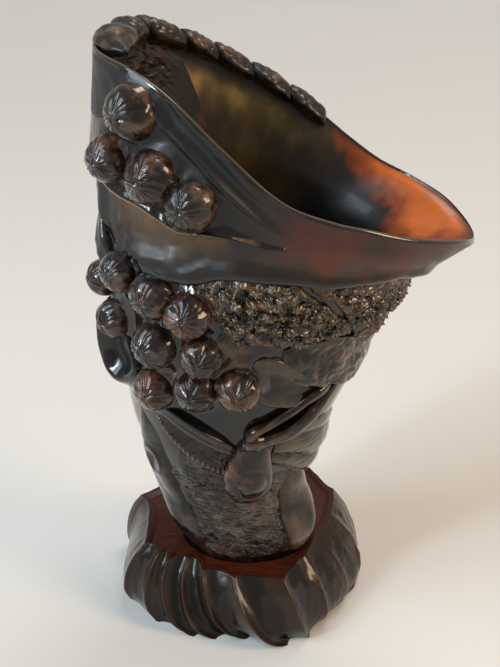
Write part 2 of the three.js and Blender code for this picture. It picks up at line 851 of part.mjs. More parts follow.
const berryGrid = { columns: berryColumns, rows: berryRows, height: berryHeight, form: berried };
const spreads = [
  // name, edges, how it is laid out
  ['front_berries', frontBerryShares, berryGrid],
  ['side_berries', sideBerryShares, berryGrid],
  ['curled_leaf', curlShares, { columns: 10, rows: 6, height: curlHeight, form: cupped }],
  ['flap_leaf', flapShares, { columns: 8, rows: 2, height: flapThickness, form: sloped }],
  ['side_leaf', sideLeafShares, { columns: 8, rows: 4, height: flapThickness, form: hollowed }],
  ['serrated_leaf', serratedShares, { columns: 10, rows: 3, height: leafThickness, form: sloped }],
  ['folded_leaf', foldedShares, { columns: 9, rows: 8, height: foldHeight, form: pleated }],
  ['back_leaf', backLeafShares, { columns: 12, rows: 5, height: leafThickness, form: ribbed }],
];
for (const [name, edgeShares, layout] of spreads) {
  carve(name, (grow) => spread(edgeShares, { ...layout, grow }));
}

place('rim_leaf', cut(rimRoll(), shell, ...placed.slice(2)));
const blade = spread(bladeShares, {
  columns: 14, rows: 6, height: bladeThickness, form: pleatedBlade, inside: true,
});
place('leaf_blade', cut(blade, shell, rimRoll(seam)));

export default cup;
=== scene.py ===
"""A libation cup carved from one horn, dressed for the studio, on its carved wooden stand.

Lengths are millimetres until a piece is laid, and metres from there on. A place on the horn's wall is its
rise, a share of the way from the foot to the rim, and its turn in degrees: 0 at the spout, -90 on the
fruit side, 180 at the high end, 90 on the back.
"""

import math

import bpy
import numpy as np
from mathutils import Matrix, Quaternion, Vector


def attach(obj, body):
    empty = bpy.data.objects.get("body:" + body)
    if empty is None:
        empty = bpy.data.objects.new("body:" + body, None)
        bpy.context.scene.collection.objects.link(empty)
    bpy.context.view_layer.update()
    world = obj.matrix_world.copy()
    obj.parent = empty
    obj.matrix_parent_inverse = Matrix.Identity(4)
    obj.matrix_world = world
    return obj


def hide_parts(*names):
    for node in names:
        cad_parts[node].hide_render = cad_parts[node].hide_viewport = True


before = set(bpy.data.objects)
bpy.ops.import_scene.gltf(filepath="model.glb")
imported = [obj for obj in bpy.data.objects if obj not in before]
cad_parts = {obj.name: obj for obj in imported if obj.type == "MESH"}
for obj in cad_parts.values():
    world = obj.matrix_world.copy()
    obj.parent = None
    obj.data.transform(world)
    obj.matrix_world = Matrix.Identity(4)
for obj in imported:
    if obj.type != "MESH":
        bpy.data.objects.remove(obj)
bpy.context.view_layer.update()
MM = 0.001
WELD = 2e-6

# Sizes of the cup, its carving and the stand
CUP_HEIGHT = 175
MOUTH_LENGTH = 113
MOUTH_WIDTH = 82
STAND_LENGTH = 87
STAND_WIDTH = 78
STAND_HEIGHT = 24
STAND_SETBACK = 3
STAND_BELLY = 2
FLUTE_DEPTH = 3
DISH_DEPTH = 0.8
LIP_WIDTH = 3.5
SEAT_DEPTH = 1.5
SEAT_CLEARANCE = 1.3
FOOT_HEIGHT = 22
RIM_THICKNESS = 2.2
BOWL_THICKNESS = 4.5
SKIRT_STEP = 1.2
FRUIT_DIAMETER = 13
FRUIT_FLATNESS = 0.95
UPPER_LIFT = 1.9
LOWER_LIFT = 2.5
ROOTING = 2.5
BERRY_HEIGHT = 4.4
CRADLE_THICKNESS = 3.2
CURL_HEIGHT = 8.2
SERRATED_THICKNESS = 2.6
FOLD_HEIGHT = 2.8
BACK_LEAF_THICKNESS = 2.8
FLAP_THICKNESS = 2
BLADE_THICKNESS = 2.8
TWIG_DIAMETER = 5.5
STEM_DIAMETER = 15
COLUMN_DIAMETER = 8
BUD_DIAMETER = 16
LOBE_DIAMETER = 14
BRANCH_DIAMETER = 10
ROLL_WIDTH = 11.2
ROLL_HEIGHT = 7.6
ROLL_LIFT = 1.2
ROLL_INSET = 3.4
ROLL_TUCK = 3

# What the whole rise and one degree of turn measure, on the middle of the bowl and on the rock
MM_PER_RISE = 150
MM_PER_DEGREE = 0.66
ROCK_MM_PER_RISE = 165
ROCK_MM_PER_DEGREE = 0.42


def lerp(start, end, share):
    return start + (end - start) * share


def smooth(low, high, value):
    share = np.clip((value - low) / (high - low), 0, 1)
    return share * share * (3 - 2 * share)


def hump(middle, width, value):
    """A soft hump of height 1 about the middle."""
    return np.exp(-(((value - middle) / width) ** 2))


def stretch(value, start, full, fading, end):
    """1 from full to fading, easing up from 0 at start and down to 0 at end."""
    return smooth(start, full, value) * smooth(end, fading, value)


def arch(share):
    """1 in the middle, 0 at both ends."""
    return np.sin(math.pi * np.clip(share, 0, 1))


def curve(rows, column=1):
    """A smooth curve through rows of a place and one or more values."""
    table = np.array(rows, float)
    place, value = table[:, 0], table[:, column]
    last = len(place) - 1
    before = np.maximum(np.arange(last + 1) - 1, 0)
    after = np.minimum(np.arange(last + 1) + 1, last)
    slope = (value[after] - value[before]) / (place[after] - place[before])

    def at(x):
        x = np.clip(x, place[0], place[-1])
        i = np.clip(np.searchsorted(place, x, side="right") - 1, 0, last - 1)
        span = place[i + 1] - place[i]
        t = (x - place[i]) / span
        level = lerp(value[i], value[i + 1], t * t * (3 - 2 * t))
        lean = slope[i] * t * (1 - t) ** 2 - slope[i + 1] * t * t * (1 - t)
        return level + lean * span

    return at


# Rise, left end, its height, right end, its height, half depth, as shares of the cup's sizes
WALL = [
    [0.0, -0.168, 0.0, 0.212, 0.0, 0.207],
    [0.1, -0.221, 0.069, 0.23, 0.069, 0.244],
    [0.2, -0.239, 0.143, 0.19, 0.154, 0.25],
    [0.3, -0.274, 0.223, 0.222, 0.223, 0.293],
    [0.4, -0.31, 0.303, 0.255, 0.297, 0.341],
    [0.5, -0.327, 0.389, 0.306, 0.377, 0.39],
    [0.6, -0.336, 0.491, 0.362, 0.469, 0.427],
    [0.7, -0.354, 0.617, 0.42, 0.56, 0.451],
    [0.8, -0.363, 0.743, 0.461, 0.611, 0.47],
    [0.9, -0.372, 0.874, 0.56, 0.64, 0.488],
    [1.0, -0.363, 1.0, 0.637, 0.663, 0.5],
]
left_end, left_rise, right_end, right_rise, half_depth = (curve(WALL, column) for column in range(1, 6))

# Share of the mouth's length, height of the rim on the fruit side and on the back
RIM = [
    [0.0, 1.0, 1.0], [0.1, 0.994, 0.985], [0.2, 0.963, 0.956], [0.33, 0.889, 0.912],
    [0.47, 0.811, 0.86], [0.6, 0.775, 0.806], [0.68, 0.759, 0.766], [0.77, 0.737, 0.728],
    [0.88, 0.711, 0.702], [0.95, 0.689, 0.685], [1.0, 0.663, 0.663],
]
fruit_side_rim, back_rim = curve(RIM, 1), curve(RIM, 2)


def wall(rise, turn):
    """A place on the cup's outer surface, without its carving."""
    across, aside = np.cos(np.radians(turn)), np.sin(np.radians(turn))
    along = (1 + across) / 2
    x = lerp(left_end(rise), right_end(rise), along) * MOUTH_LENGTH
    y = half_depth(rise) * aside * MOUTH_WIDTH
    rim = np.where(aside > 0, back_rim(along), fruit_side_rim(along))
    sag = rim - lerp(RIM[0][1], RIM[-1][1], along)
    grown = np.maximum(0, (rise - 0.6) / 0.4) ** 1.5
    height = lerp(left_rise(rise), right_rise(rise), along) + sag * grown
    return np.stack(np.broadcast_arrays(x, y, FOOT_HEIGHT + height * CUP_HEIGHT), -1)


def unit(vectors):
    return vectors / np.maximum(np.linalg.norm(vectors, axis=-1, keepdims=True), 1e-9)


def directions(rise, turn):
    """Up the wall, round it, and square out of it."""
    up = unit(wall(np.minimum(rise + 0.004, 1), turn) - wall(np.maximum(rise - 0.004, 0), turn))
    around = unit(wall(rise, turn + 1) - wall(rise, turn - 1))
    return up, around, unit(np.cross(around, up))


def on_wall(rise, turn, proud):
    """A place that stands out from the wall by proud."""
    rise, turn, proud = np.broadcast_arrays(rise, turn, proud)
    return wall(rise, turn) + directions(rise, turn)[2] * proud[..., None]


def wall_thickness(rise):
    """Thin at the rim, quickly stouter below it."""
    at_rim = RIM_THICKNESS * lerp(1, 0.62, smooth(0.96, 1, rise))
    return lerp(at_rim, BOWL_THICKNESS, np.clip((1 - rise) / 0.15, 0, 1))


# Lumps, florets and strokes
LATTICE = np.random.default_rng(11).random((24, 24, 24)) * 2 - 1


def lumps(points, size, layers=3):
    """Smooth lumps about that size across, from about -1 to 1."""
    total = 0
    for layer in range(layers):
        place = points * 2**layer / size + 7.3 * layer
        cell = np.floor(place).astype(int)
        near = place - cell
        near = near * near * (3 - 2 * near)
        value = 0
        for corner in np.ndindex(2, 2, 2):
            share = np.prod(np.where(corner, near, 1 - near), axis=-1)
            i, j, k = ((cell + corner) % 24).T
            value = value + share * LATTICE[i, j, k]
        total = total + value / 2**layer
    return total / 1.4


def florets(a, b, spacing, seed):
    """Crowded crumpled florets on a sheet measured in millimetres: their height, from 0 to about 1."""
    rng = np.random.default_rng(seed)
    i0, j0 = int(a.min() // spacing) - 2, int(b.min() // spacing) - 2
    shape = (int(a.max() // spacing) - i0 + 3, int(b.max() // spacing) - j0 + 3)
    shift = rng.uniform(0.12, 0.88, shape + (2,))
    size = rng.uniform(0.62, 0.95, shape)
    phase = rng.uniform(0, 2 * math.pi, shape)
    petals = rng.integers(3, 6, shape)
    tilt = rng.normal(0, 0.3, shape + (2,))
    level = rng.uniform(0, 0.35, shape)
    i, j = (a // spacing).astype(int) - i0, (b // spacing).astype(int) - j0
    height = np.zeros_like(a)
    for di in (-1, 0, 1):
        for dj in (-1, 0, 1):
            m, n = i + di, j + dj
            across = a / spacing - (m + i0 + shift[m, n, 0])
            up = b / spacing - (n + j0 + shift[m, n, 1])
            away = np.hypot(across, up) / size[m, n]
            angle = np.arctan2(up, across) * petals[m, n] + phase[m, n]
            ball = np.sqrt(np.clip(1 - (away * (1 + 0.18 * np.cos(angle))) ** 2, 0, 1))
            fold = 1 - 0.5 * np.abs(np.sin(angle / 2)) * smooth(0.08, 0.4, away)
            dent = 0.35 * hump(0, 0.18, away)
            lean = tilt[m, n, 0] * across + tilt[m, n, 1] * up
            height = np.maximum(height, ball * (fold - dent + lean + level[m, n]))
    return height


def strokes(a, b, count, length, width, heading, scatter, seed):
    """Short cuts of a graver over a sheet measured in millimetres: how deep each point is cut, 0 to 1."""
    rng = np.random.default_rng(seed)
    depth = np.zeros_like(a)
    for _ in range(count):
        middle = rng.uniform(a.min(), a.max()), rng.uniform(b.min(), b.max())
        angle = heading + rng.normal(0, scatter)
        along = (a - middle[0]) * math.cos(angle) + (b - middle[1]) * math.sin(angle)
        across = (b - middle[1]) * math.cos(angle) - (a - middle[0]) * math.sin(angle)
        reach = np.clip(1 - (along / (length * rng.uniform(0.5, 1))) ** 2, 0, 1)
        depth = np.maximum(depth, reach * hump(0, width, across + 0.05 * along**2))
    return depth


def dress(piece, material, body, nodes):
    """What every finished piece says about itself."""
    piece.data.materials.clear()
    piece.data.materials.append(material)
    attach(piece, body)
    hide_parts(*nodes)


def edit(piece, *steps):
    """Runs edit mode steps on all of a piece's mesh."""
    bpy.ops.object.select_all(action="DESELECT")
    piece.select_set(True)
    bpy.context.view_layer.objects.active = piece
    bpy.ops.object.mode_set(mode="EDIT")
    bpy.ops.mesh.select_all(action="SELECT")
    for step, settings in steps:
        step(**settings)
    bpy.ops.object.mode_set(mode="OBJECT")
    bpy.ops.object.shade_smooth()


def primitive(add, name, **settings):
    """A new primitive with nothing else selected, and its points, one to a row."""
    bpy.ops.object.select_all(action="DESELECT")
    add(**settings)
    piece = bpy.context.object
    piece.name = piece.data.name = name
    flat = np.empty(len(piece.data.vertices) * 3)
    piece.data.vertices.foreach_get("co", flat)
    return piece, flat.reshape(-1, 3)


def carve(piece, points, masks):
    """Moves a piece's points to places in millimetres, and stores the masks that its finish reads."""
    piece.data.vertices.foreach_set("co", (points * MM).ravel())
    for mask, values in masks.items():
        stored = piece.data.attributes.new(mask, "FLOAT", "POINT")
        values = np.broadcast_to(np.clip(values, 0, 1), len(points))
        stored.data.foreach_set("value", values.astype(np.float32))


def lay(name, along, around, place):
    """A grid bent into a closed tube. place takes arrays of shares along and around it and gives points in
    millimetres and, by name, the masks that its finish reads. Both ends close on their middles."""
    grid = {"x_subdivisions": along, "y_subdivisions": around, "size": 2}
    piece, flat = primitive(bpy.ops.mesh.primitive_grid_add, name, **grid)
    share = (flat + 1) / 2
    column = np.rint(share[:, 0] * along).astype(int)
    points, masks = place(np.clip((column - 1) / (along - 2), 0, 1), share[:, 1] % 1)
    for end, beside in ((0, 1), (along, along - 1)):
        points[column == end] = points[column == beside].mean(axis=0)
    carve(piece, points, masks)
    merge = (bpy.ops.mesh.remove_doubles, {"threshold": WELD})
    outward = (bpy.ops.mesh.normals_make_consistent, {"inside": False})
    edit(piece, merge, outward)
    return piece


def staged(share, lengths):
    """Splits a share of a profile into stages: which stage, and the share of the way through it."""
    ends = np.cumsum([0, *lengths]) / sum(lengths)
    stage = np.clip(np.searchsorted(ends, share, side="right") - 1, 0, len(lengths) - 1)
    return stage, (share - ends[stage]) / (ends[stage + 1] - ends[stage])


# Finishes
class Wire:
    """One output of a tree's nodes, with arithmetic on it."""

    def __init__(self, nodes, socket):
        self.nodes, self.socket = nodes, socket

    def combine(self, operation, other):
        return self.nodes.node("Math", {"operation": operation}, {0: self, 1: other})

    def __add__(self, other):
        return self.combine("ADD", other)

    def __sub__(self, other):
        return self.combine("SUBTRACT", other)

    def __mul__(self, other):
        return self.combine("MULTIPLY", other)


class Nodes:
    """A tree of shader nodes."""

    def __init__(self, tree):
        self.tree = tree

    def node(self, kind, settings=None, inputs=None, output=0):
        made = self.tree.nodes.new("ShaderNode" + kind)
        for key, value in (settings or {}).items():
            setattr(made, key, value)
        for key, value in (inputs or {}).items():
            self.join(value, made.inputs[key])
        return Wire(self, made.outputs[output])

    def join(self, value, socket):
        if isinstance(value, Wire):
            self.tree.links.new(value.socket, socket)
        else:
            socket.default_value = value

    def seen(self):
        """1 for rays that are seen, straight or in the polish."""
        rays = ("Is Camera Ray", "Is Glossy Ray", "Is Transmission Ray")
        camera, glossy, transmission = (self.node("LightPath", output=ray) for ray in rays)
        return camera + glossy + transmission


class Look(Nodes):
    """A finish: its shader's constants, and the nodes that vary it over the surface."""

    def __init__(self, name, **constants):
        self.material = bpy.data.materials.new(name)
        self.material.use_nodes = True
        super().__init__(self.material.node_tree)
        self.vary(**constants)
        self.place = self.node("TexCoord", output="Object")

    def vary(self, **sockets):
        for socket, value in sockets.items():
            self.join(value, self.tree.nodes["Principled BSDF"].inputs[socket.replace("_", " ")])

    def mask(self, name):
        return self.node("Attribute", {"attribute_name": name}, output="Fac")

    def stretched(self, x, y, z):
        return self.node("VectorMath", {"operation": "MULTIPLY"}, {0: self.place, 1: (x, y, z)})

    def cloud(self, scale, detail=3, roughness=0.5, place=None):
        sockets = {"Vector": place or self.place, "Scale": scale, "Detail": detail, "Roughness": roughness}
        return self.node("TexNoise", {}, sockets)

    def ease(self, value, low, high, start=0, end=1):
        sockets = {"Value": value, "From Min": low, "From Max": high, "To Min": start, "To Max": end}
        return self.node("MapRange", {"interpolation_type": "SMOOTHSTEP"}, sockets)

    def tint(self, share, under, over):
        """One colour over another. Each is a wire or its numbers on a screen."""
        under, over = (colour(*paint) if isinstance(paint, tuple) else paint for paint in (under, over))
        return self.node("Mix", {"data_type": "RGBA"}, {0: share, 6: under, 7: over}, output=2)

    def bump(self, height, distance):
        return self.node("Bump", {}, {"Height": height, "Distance": distance})


def colour(red, green, blue, shade=1):
    """A colour from its numbers on a screen, 0 to 255, and a share to darken it by."""
    levels = [channel / 255 for channel in (red, green, blue)]
    linear = [c / 12.92 if c <= 0.04045 else ((c + 0.055) / 1.055) ** 2.4 for c in levels]
    return tuple(channel * shade for channel in linear) + (1,)


def horn_look(
    name, dark, warm, worn, rough=(0.1, 0.24), patch=70, warm_from=0.5, painted_crease_shade=0.5, fleck=0, coat=0.85
):
    """Polished horn: dark, with warm patches and amber flecks, paler where proud, with painted shade that
    darkens its creases, which are dull.
    """
    look = Look(name, IOR=1.5, Specular_IOR_Level=0.3, Coat_Roughness=0.05, Coat_IOR=1.3)
    relief = look.mask("relief")
    patches = look.cloud(patch, 4, 0.55)
    streaks = look.cloud(9, 4, 0.6, look.stretched(60, 60, 14))
    specks = look.cloud(1400, 2, 0.5)
    base = look.tint(look.ease(patches + streaks * 0.25 - 0.12, warm_from, warm_from + 0.18), dark, warm)
    base = look.tint(look.ease(relief + specks * 0.25, 0.62, 1.05) * 0.75, base, worn)
    base = look.tint(look.ease(look.cloud(330, 1, 0.4), 0.66, 0.72) * fleck, base, (150, 92, 44))
    # painted shade: creases and hollows, where the relief is low, darken towards near black
    base = look.tint(look.ease(relief, 0.5, 0.1) * painted_crease_shade, base, (7, 6, 5))
    scuffs = look.cloud(320, 3, 0.6)
    dull = look.ease(relief, 0.5, 0.1) * 0.14
    look.vary(
        Base_Color=base,
        Roughness=look.ease(scuffs, 0.35, 0.7, *rough) + dull,
        Coat_Weight=look.ease(relief, 0.05, 0.5, 0.15, coat),
        Normal=look.bump(scuffs + specks * 0.35 + streaks * 0.4, 0.00006),
    )
    return look.material


def bowl_look():
    """The bowl: near-black horn that clears to brown in the thin skirt and to amber in the spout, the
    amber partly its own colour and partly a painted glow of light through the thin horn.
    """
    look = Look("bowl_horn", IOR=1.5, Specular_IOR_Level=0.42, Coat_Roughness=0.04, Coat_IOR=1.3)
    streaks = look.cloud(4, 4, 0.55, look.stretched(14, 14, 9))
    patches = look.cloud(45, 3, 0.5)
    specks = look.cloud(900, 2, 0.5)
    dark = look.tint(look.ease(patches, 0.4, 0.75), (9, 10, 12), (26, 23, 21))
    brown = look.tint(look.ease(streaks, 0.35, 0.7), (46, 31, 17), (100, 73, 45))
    swirls = look.cloud(60, 5, 0.6, look.stretched(1, 1, 2.4))
    brown = look.tint(look.ease(swirls, 0.53, 0.66) * 0.85, brown, (24, 19, 19))
    rust = look.tint(look.ease(patches, 0.35, 0.65), (42, 18, 9), (84, 36, 17))
    # the hollow's olive tone, and the painted pool of light on its back
    olive = look.tint(look.ease(streaks, 0.3, 0.7), (104, 88, 48), (210, 174, 102))
    # amber at the spout: partly the horn's own colour, partly a painted glow of light through the thin
    # horn
    amber = look.tint(look.ease(streaks, 0.3, 0.65), (106, 42, 16), (196, 98, 26))
    base = look.tint(look.mask("brown"), dark, brown)
    base = look.tint(look.mask("rust"), base, rust)
    base = look.tint(look.mask("olive"), base, olive)
    base = look.tint(look.mask("amber"), base, amber)
    # painted shadow under the rolled leaf, and darker bands at the spout's rim and on the skirt
    base = look.tint(look.mask("smoke"), base, (20, 14, 12))
    # painted highlight along the rim's crest, paler like wear
    base = look.tint(look.mask("edge"), base, (96, 84, 64))
    scuffs = look.cloud(260, 4, 0.6)
    look.vary(
        Base_Color=base,
        Roughness=look.ease(scuffs, 0.35, 0.75, 0.09, 0.2) + look.mask("matt") * 0.36,
        Coat_Weight=look.ease(look.mask("matt"), 0, 1, 0.7, 0.05),
        Normal=look.bump(scuffs + specks * 0.25 + streaks * 0.5, 0.00005),
    )
    return look.material


def stand_look():
    """Red polished wood: clear and red on the dished top, dark and dusty grey-green in the flutes, with
    painted shade deep in the flutes and painted highlights, with wear, on the ridges.
    """
    look = Look("stand_wood", IOR=1.5, Specular_IOR_Level=0.22, Coat_Roughness=0.08, Coat_IOR=1.35)
    relief, dish = look.mask("relief"), look.mask("dish")
    grain = look.cloud(6, 6, 0.62, look.stretched(22, 150, 150))
    fine = look.cloud(14, 3, 0.6, look.stretched(40, 420, 420))
    patches = look.cloud(55, 3, 0.55)
    side = look.tint(look.ease(patches, 0.35, 0.65), (26, 16, 12), (52, 32, 23))
    side = look.tint(look.ease(relief + patches * 0.3, 0.95, 0.6) * 0.85, side, (46, 37, 27))
    # painted shade in the deepest part of each flute
    side = look.tint(look.ease(relief, 0.42, 0.24) * 0.85, side, (17, 14, 12))
    # painted highlight along the ridges, paler like wear
    side = look.tint(look.ease(relief, 0.6, 1) * 0.45, side, (84, 54, 42))
    top = look.tint(look.ease(grain, 0.3, 0.7), (44, 15, 7), (78, 28, 12))
    base = look.tint(dish, side, top)
    base = look.tint(look.ease(fine, 0.5, 0.8) * 0.35, base, (24, 12, 8))
    scuffs = look.cloud(240, 4, 0.6)
    look.vary(
        Base_Color=base,
        Roughness=look.ease(scuffs, 0.3, 0.7, 0.12, 0.26) + dish * 0.24,
        Coat_Weight=look.ease(dish, 0, 1, 0.42, 0.1),
        Normal=look.bump(grain * 0.6 + fine * 0.5 + scuffs * 0.3, 0.00007),
    )
    return look.material


BOWL = bowl_look()
FRUIT = horn_look(
    "fruit_horn", (30, 22, 20), (86, 52, 31), (104, 82, 68), rough=(0.12, 0.26), patch=110, fleck=0.25
)
BERRY = horn_look(
    "berry_horn", (34, 27, 18), (72, 49, 29), (92, 72, 50), patch=110, painted_crease_shade=0.85, fleck=0.3
)
LEAF = horn_look(
    "leaf_horn", (32, 23, 17), (84, 54, 38), (104, 80, 60), (0.26, 0.42), painted_crease_shade=0.85, fleck=0.15, coat=0.35
)
CRADLE_HORN = horn_look(
    "cradle_horn", (20, 17, 16), (70, 46, 31), (146, 116, 86), patch=80, warm_from=0.54
)
STEM = horn_look(
    "stem_horn", (12, 12, 13), (48, 32, 24), (72, 58, 48), rough=(0.07, 0.2), patch=60, warm_from=0.58
)
TWIG_HORN = horn_look(
    "twig_horn", (20, 14, 13), (66, 38, 29), (110, 84, 68), rough=(0.07, 0.18), patch=120, warm_from=0.46
)
FOLD_HORN = horn_look(
    "fold_horn", (26, 22, 16), (70, 58, 38), (90, 78, 58), rough=(0.14, 0.28), patch=60, warm_from=0.46
)
SIDE_HORN = horn_look(
    "side_horn", (20, 18, 14), (60, 46, 25), (78, 68, 52), rough=(0.12, 0.26), patch=60
)
LOBE_HORN = horn_look(
    "lobe_horn", (30, 20, 14), (70, 46, 27), (92, 74, 52), rough=(0.08, 0.2), patch=90, warm_from=0.44
)
BUD = horn_look(
    "bud_horn", (28, 16, 12), (84, 48, 27), (120, 84, 58), rough=(0.06, 0.16), patch=120, fleck=0.06
)
ROCK = horn_look(
    "rock_horn", (22, 18, 17), (62, 45, 33), (110, 94, 82), painted_crease_shade=0.85
)
WOOD = stand_look()

# The fruit: rise, turn, size as a share of the usual diameter
UPPER_FRUIT = [
    [0.96, -137, 1.2], [0.884, -148, 1.06], [0.894, -128, 1.22], [0.894, -115, 1.15],
]
LOWER_FRUIT = [
    [0.688, -169.5, 0.9], [0.732, -145.5, 0.98], [0.722, -127.5, 1.1], [0.646, -156, 0.98],
    [0.712, -113.5, 1.1], [0.644, -128.5, 1.11], [0.646, -107.5, 1.02], [0.56, -130, 1.05],
    [0.582, -109.5, 1.0], [0.596, -92, 1.08],
]

# The bowl: the carved wall, the smooth skirt that overhangs it, the rim and the hollow. Rows hold a turn
# and the rise where the skirt begins, how far its lip stands out, the rise of the edge of the leaf cut
# into the wall, and the rise where the hollow turns amber.
SKIRT = [
    [-180, 0.79], [-160, 0.76], [-147, 0.735], [-139, 0.765], [-130, 0.758], [-117, 0.764],
    [-110, 0.777], [-103, 0.8], [-95, 0.818], [-80, 0.832], [-67, 0.832], [-47, 0.87], [-20, 0.858],
    [0, 0.84], [40, 0.82], [90, 0.8], [140, 0.79], [180, 0.79],
]
skirt_rise = curve(SKIRT)
SKIRT_LIP = [
    [-180, 0.3], [-150, 0.8], [-142, 2.0], [-128, 2.6], [-114, 2.2], [-100, 1.3], [-84, 0.9],
    [-70, 0.9], [-40, 1.1], [0, 1.1], [60, 0.7], [180, 0.3],
]
skirt_lip = curve(SKIRT_LIP)
LEAF_MARGIN = [
    [-116, 0.75], [-110, 0.728], [-104, 0.698], [-99.5, 0.672], [-94.5, 0.647], [-90, 0.643],
    [-84, 0.66], [-78, 0.65],
]
leaf_margin = curve(LEAF_MARGIN)
AMBER_EDGE = [
    [-110, 1.2], [-90, 1.02], [-60, 0.95], [-30, 0.86], [16, 0.82], [28, 0.836], [40, 0.868],
    [50, 0.895], [58, 0.905], [65, 0.935], [71, 0.955], [77, 0.995], [84, 1.03], [100, 1.2],
]
amber_edge = curve(AMBER_EDGE)
BOWL_FOOT = 0.2
BOWL_FLOOR = 0.36
FLOOR_SAG = 2.5
STEP_SHARE = 0.006
SKIRT_DROP = 0.6
BOWL_STAGES = (70, 8, 66, 10, 62, 14)
CARVED, STEP, SKIRTED, LIP, HOLLOW, BOTTOM = range(len(BOWL_STAGES))


def fruit_bed(points):
    """How near a place is to the fruit, from 0 to 1 under one: the wall swells there to hold it."""
    near = np.zeros(points.shape[:-1])
    for rows, lift in ((UPPER_FRUIT, UPPER_LIFT), (LOWER_FRUIT, LOWER_LIFT)):
        for rise, turn, size in rows:
            away = np.linalg.norm(points - on_wall(rise, turn, lift), axis=-1) - size * FRUIT_DIAMETER / 2
            near = np.maximum(near, smooth(4.5, -1.5, away))
    return near


def skirt_form(turn, share, rise, points):
    """How far the smooth skirt stands out, from its lip to the rim."""
    lumpy = lumps(points * [1, 1, 1.5], 8)
    crumpled = stretch(turn, -160, -146, -108, -84) * smooth(0.4, 0.1, share)
    roll = skirt_lip(turn) * (1 + 0.6 * lumpy) * hump(0.03, 0.1, share)
    roll = roll + 0.55 * crumpled * lumps(points * [0.5, 0.5, 1.3], 4, 2)
    hollow = -0.5 * hump(0.24, 0.12, share) * stretch(turn, -150, -138, -80, -40)
    ridge_turn = lerp(-148, -144.2, (rise - 0.73) / 0.12)
    ridge = 0.9 * hump(ridge_turn, 0.9, turn) * smooth(0.97, 0.9, rise)
    groove = -2.2 * stretch(turn, -169, -162, ridge_turn - 4, ridge_turn) * smooth(0.93, 0.88, rise)
    leaf = stretch(turn, -134, -126, -104, -88)
    midrib = 1.1 * leaf * hump(lerp(0.972, 0.945, (turn + 130) / 30), 0.006, rise)
    bevel = -0.9 * leaf * hump(lerp(0.99, 0.968, (turn + 130) / 30), 0.012, rise)
    return SKIRT_STEP * (1 - share) + roll + hollow + ridge + groove + midrib + bevel


def bowl_form(turn, stage, share, rise, base):
    """How far the bowl's surface stands out from the wall: carved, skirt, rim and hollow."""
    skirt = skirt_rise(turn)
    bed = fruit_bed(base) * (2.2 + 0.9 * lumps(base, 2.6))
    margin = stretch(turn, -117, -112, -83, -77) * hump(leaf_margin(turn), 0.007, rise)
    sunk = 3 * smooth(0.285, 0.25, rise) + 0.5 * smooth(skirt - 0.03, skirt, rise)
    carved = 0.45 * lumps(base, 16, 2) - sunk + bed + 1.2 * margin
    skirted = stage == SKIRTED
    uneven = 0.5 * lumps(base * [0.7, 0.7, 1], 9) * smooth(-60, -80, turn) * smooth(0.84, 0.9, rise)
    outside = skirt_form(turn, np.where(skirted, share, 0), rise, base)
    outside = outside + bed * (rise > 0.85) * 0.7 + uneven * skirted
    inside = -wall_thickness(rise) + 0.12 * lumps(base, 12, 2)
    quarter = math.pi / 2 * share
    step, rim = lerp(carved, outside, np.sin(quarter)), -0.62 * RIM_THICKNESS * np.sin(quarter) ** 2
    stages = [stage == CARVED, stage == STEP, skirted, stage == LIP]
    return np.select(stages, [carved, step, outside, rim], inside)


def bowl_masks(turn, stage, share, rise, base):
    """Where the bowl is amber, partly as a painted glow, darkened in bands and by painted shadow, brown,
    rust red, olive with a painted pool of light, paler on the rim's crest by wear and a painted highlight,
    or matt.
    """
    feather = 0.055 * lumps(base * [1.6, 1.6, 0.55], 9, 4)
    hollow, skirted = stage >= HOLLOW, stage == SKIRTED
    # amber in the spout: partly the horn's own colour, partly a painted glow of light through it
    spout = smooth(-0.012, 0.035, rise + feather - amber_edge(turn)) * hollow
    tongue = hump(0.9, 0.03, rise) * hump(50, 8, turn)
    rim_dark = hollow * smooth(0.965, 0.995, rise) * stretch(turn, -60, -30, 20, 45)
    streak = skirted * hump(0.955, 0.02, rise) * hump(-62, 14, turn)
    top_of_brown = lerp(0.9, 0.97, smooth(-105, -75, turn))
    clear = skirted * smooth(0, 0.35, share + 0.6 * feather)
    skirt_brown = clear * smooth(top_of_brown, top_of_brown - 0.05, rise + feather)
    skirt_brown = skirt_brown * stretch(turn, -152, -146, 100, 150) * (1 - 0.45 * smooth(-118, -95, turn))
    under_rim = skirted * smooth(0.86, 0.93, rise + feather) * stretch(turn, -98, -78, 40, 80)
    # painted pool of light: a golden-olive patch on the back of the hollow below the rolled leaf
    olive = smooth(0.9, 0.98, rise + feather) * hump(109, 13, turn)
    # olive tone over the back of the hollow, paler towards the rim
    olive_toward_rim = (0.1 + 0.35 * smooth(0.85, 0.99, rise + feather)) * stretch(turn, 60, 95, 150, 178)
    # painted shadow on the inner wall under the rolled leaf
    painted_shadow_under_leaf = hollow * smooth(0.95, 0.975, rise + 0.2 * feather) * stretch(turn, 72, 82, 168, 180)
    mottled = (stage == CARVED) * smooth(0.5, 0.62, rise) * stretch(turn, -150, -135, -70, -50)
    mottled = mottled * smooth(-0.1, 0.5, lumps(base, 9))
    return {
        "amber": spout * (1 - 0.75 * tongue),
        # painted shadow under the rolled leaf, and darker bands at the spout's rim and on the skirt
        "smoke": 0.75 * rim_dark + 0.85 * painted_shadow_under_leaf + 0.5 * streak,
        "brown": skirt_brown + 0.6 * mottled,
        "rust": under_rim,
        "olive": hollow * (olive + olive_toward_rim),
        # painted highlight along the crest of the rim, with wear
        "edge": (stage == LIP) * 0.75 * arch(share) ** 3,
        "matt": hollow * 0.75 + skirted * lerp(0.9, 0.5, smooth(-120, -60, turn)) + 0.3 * under_rim,
    }


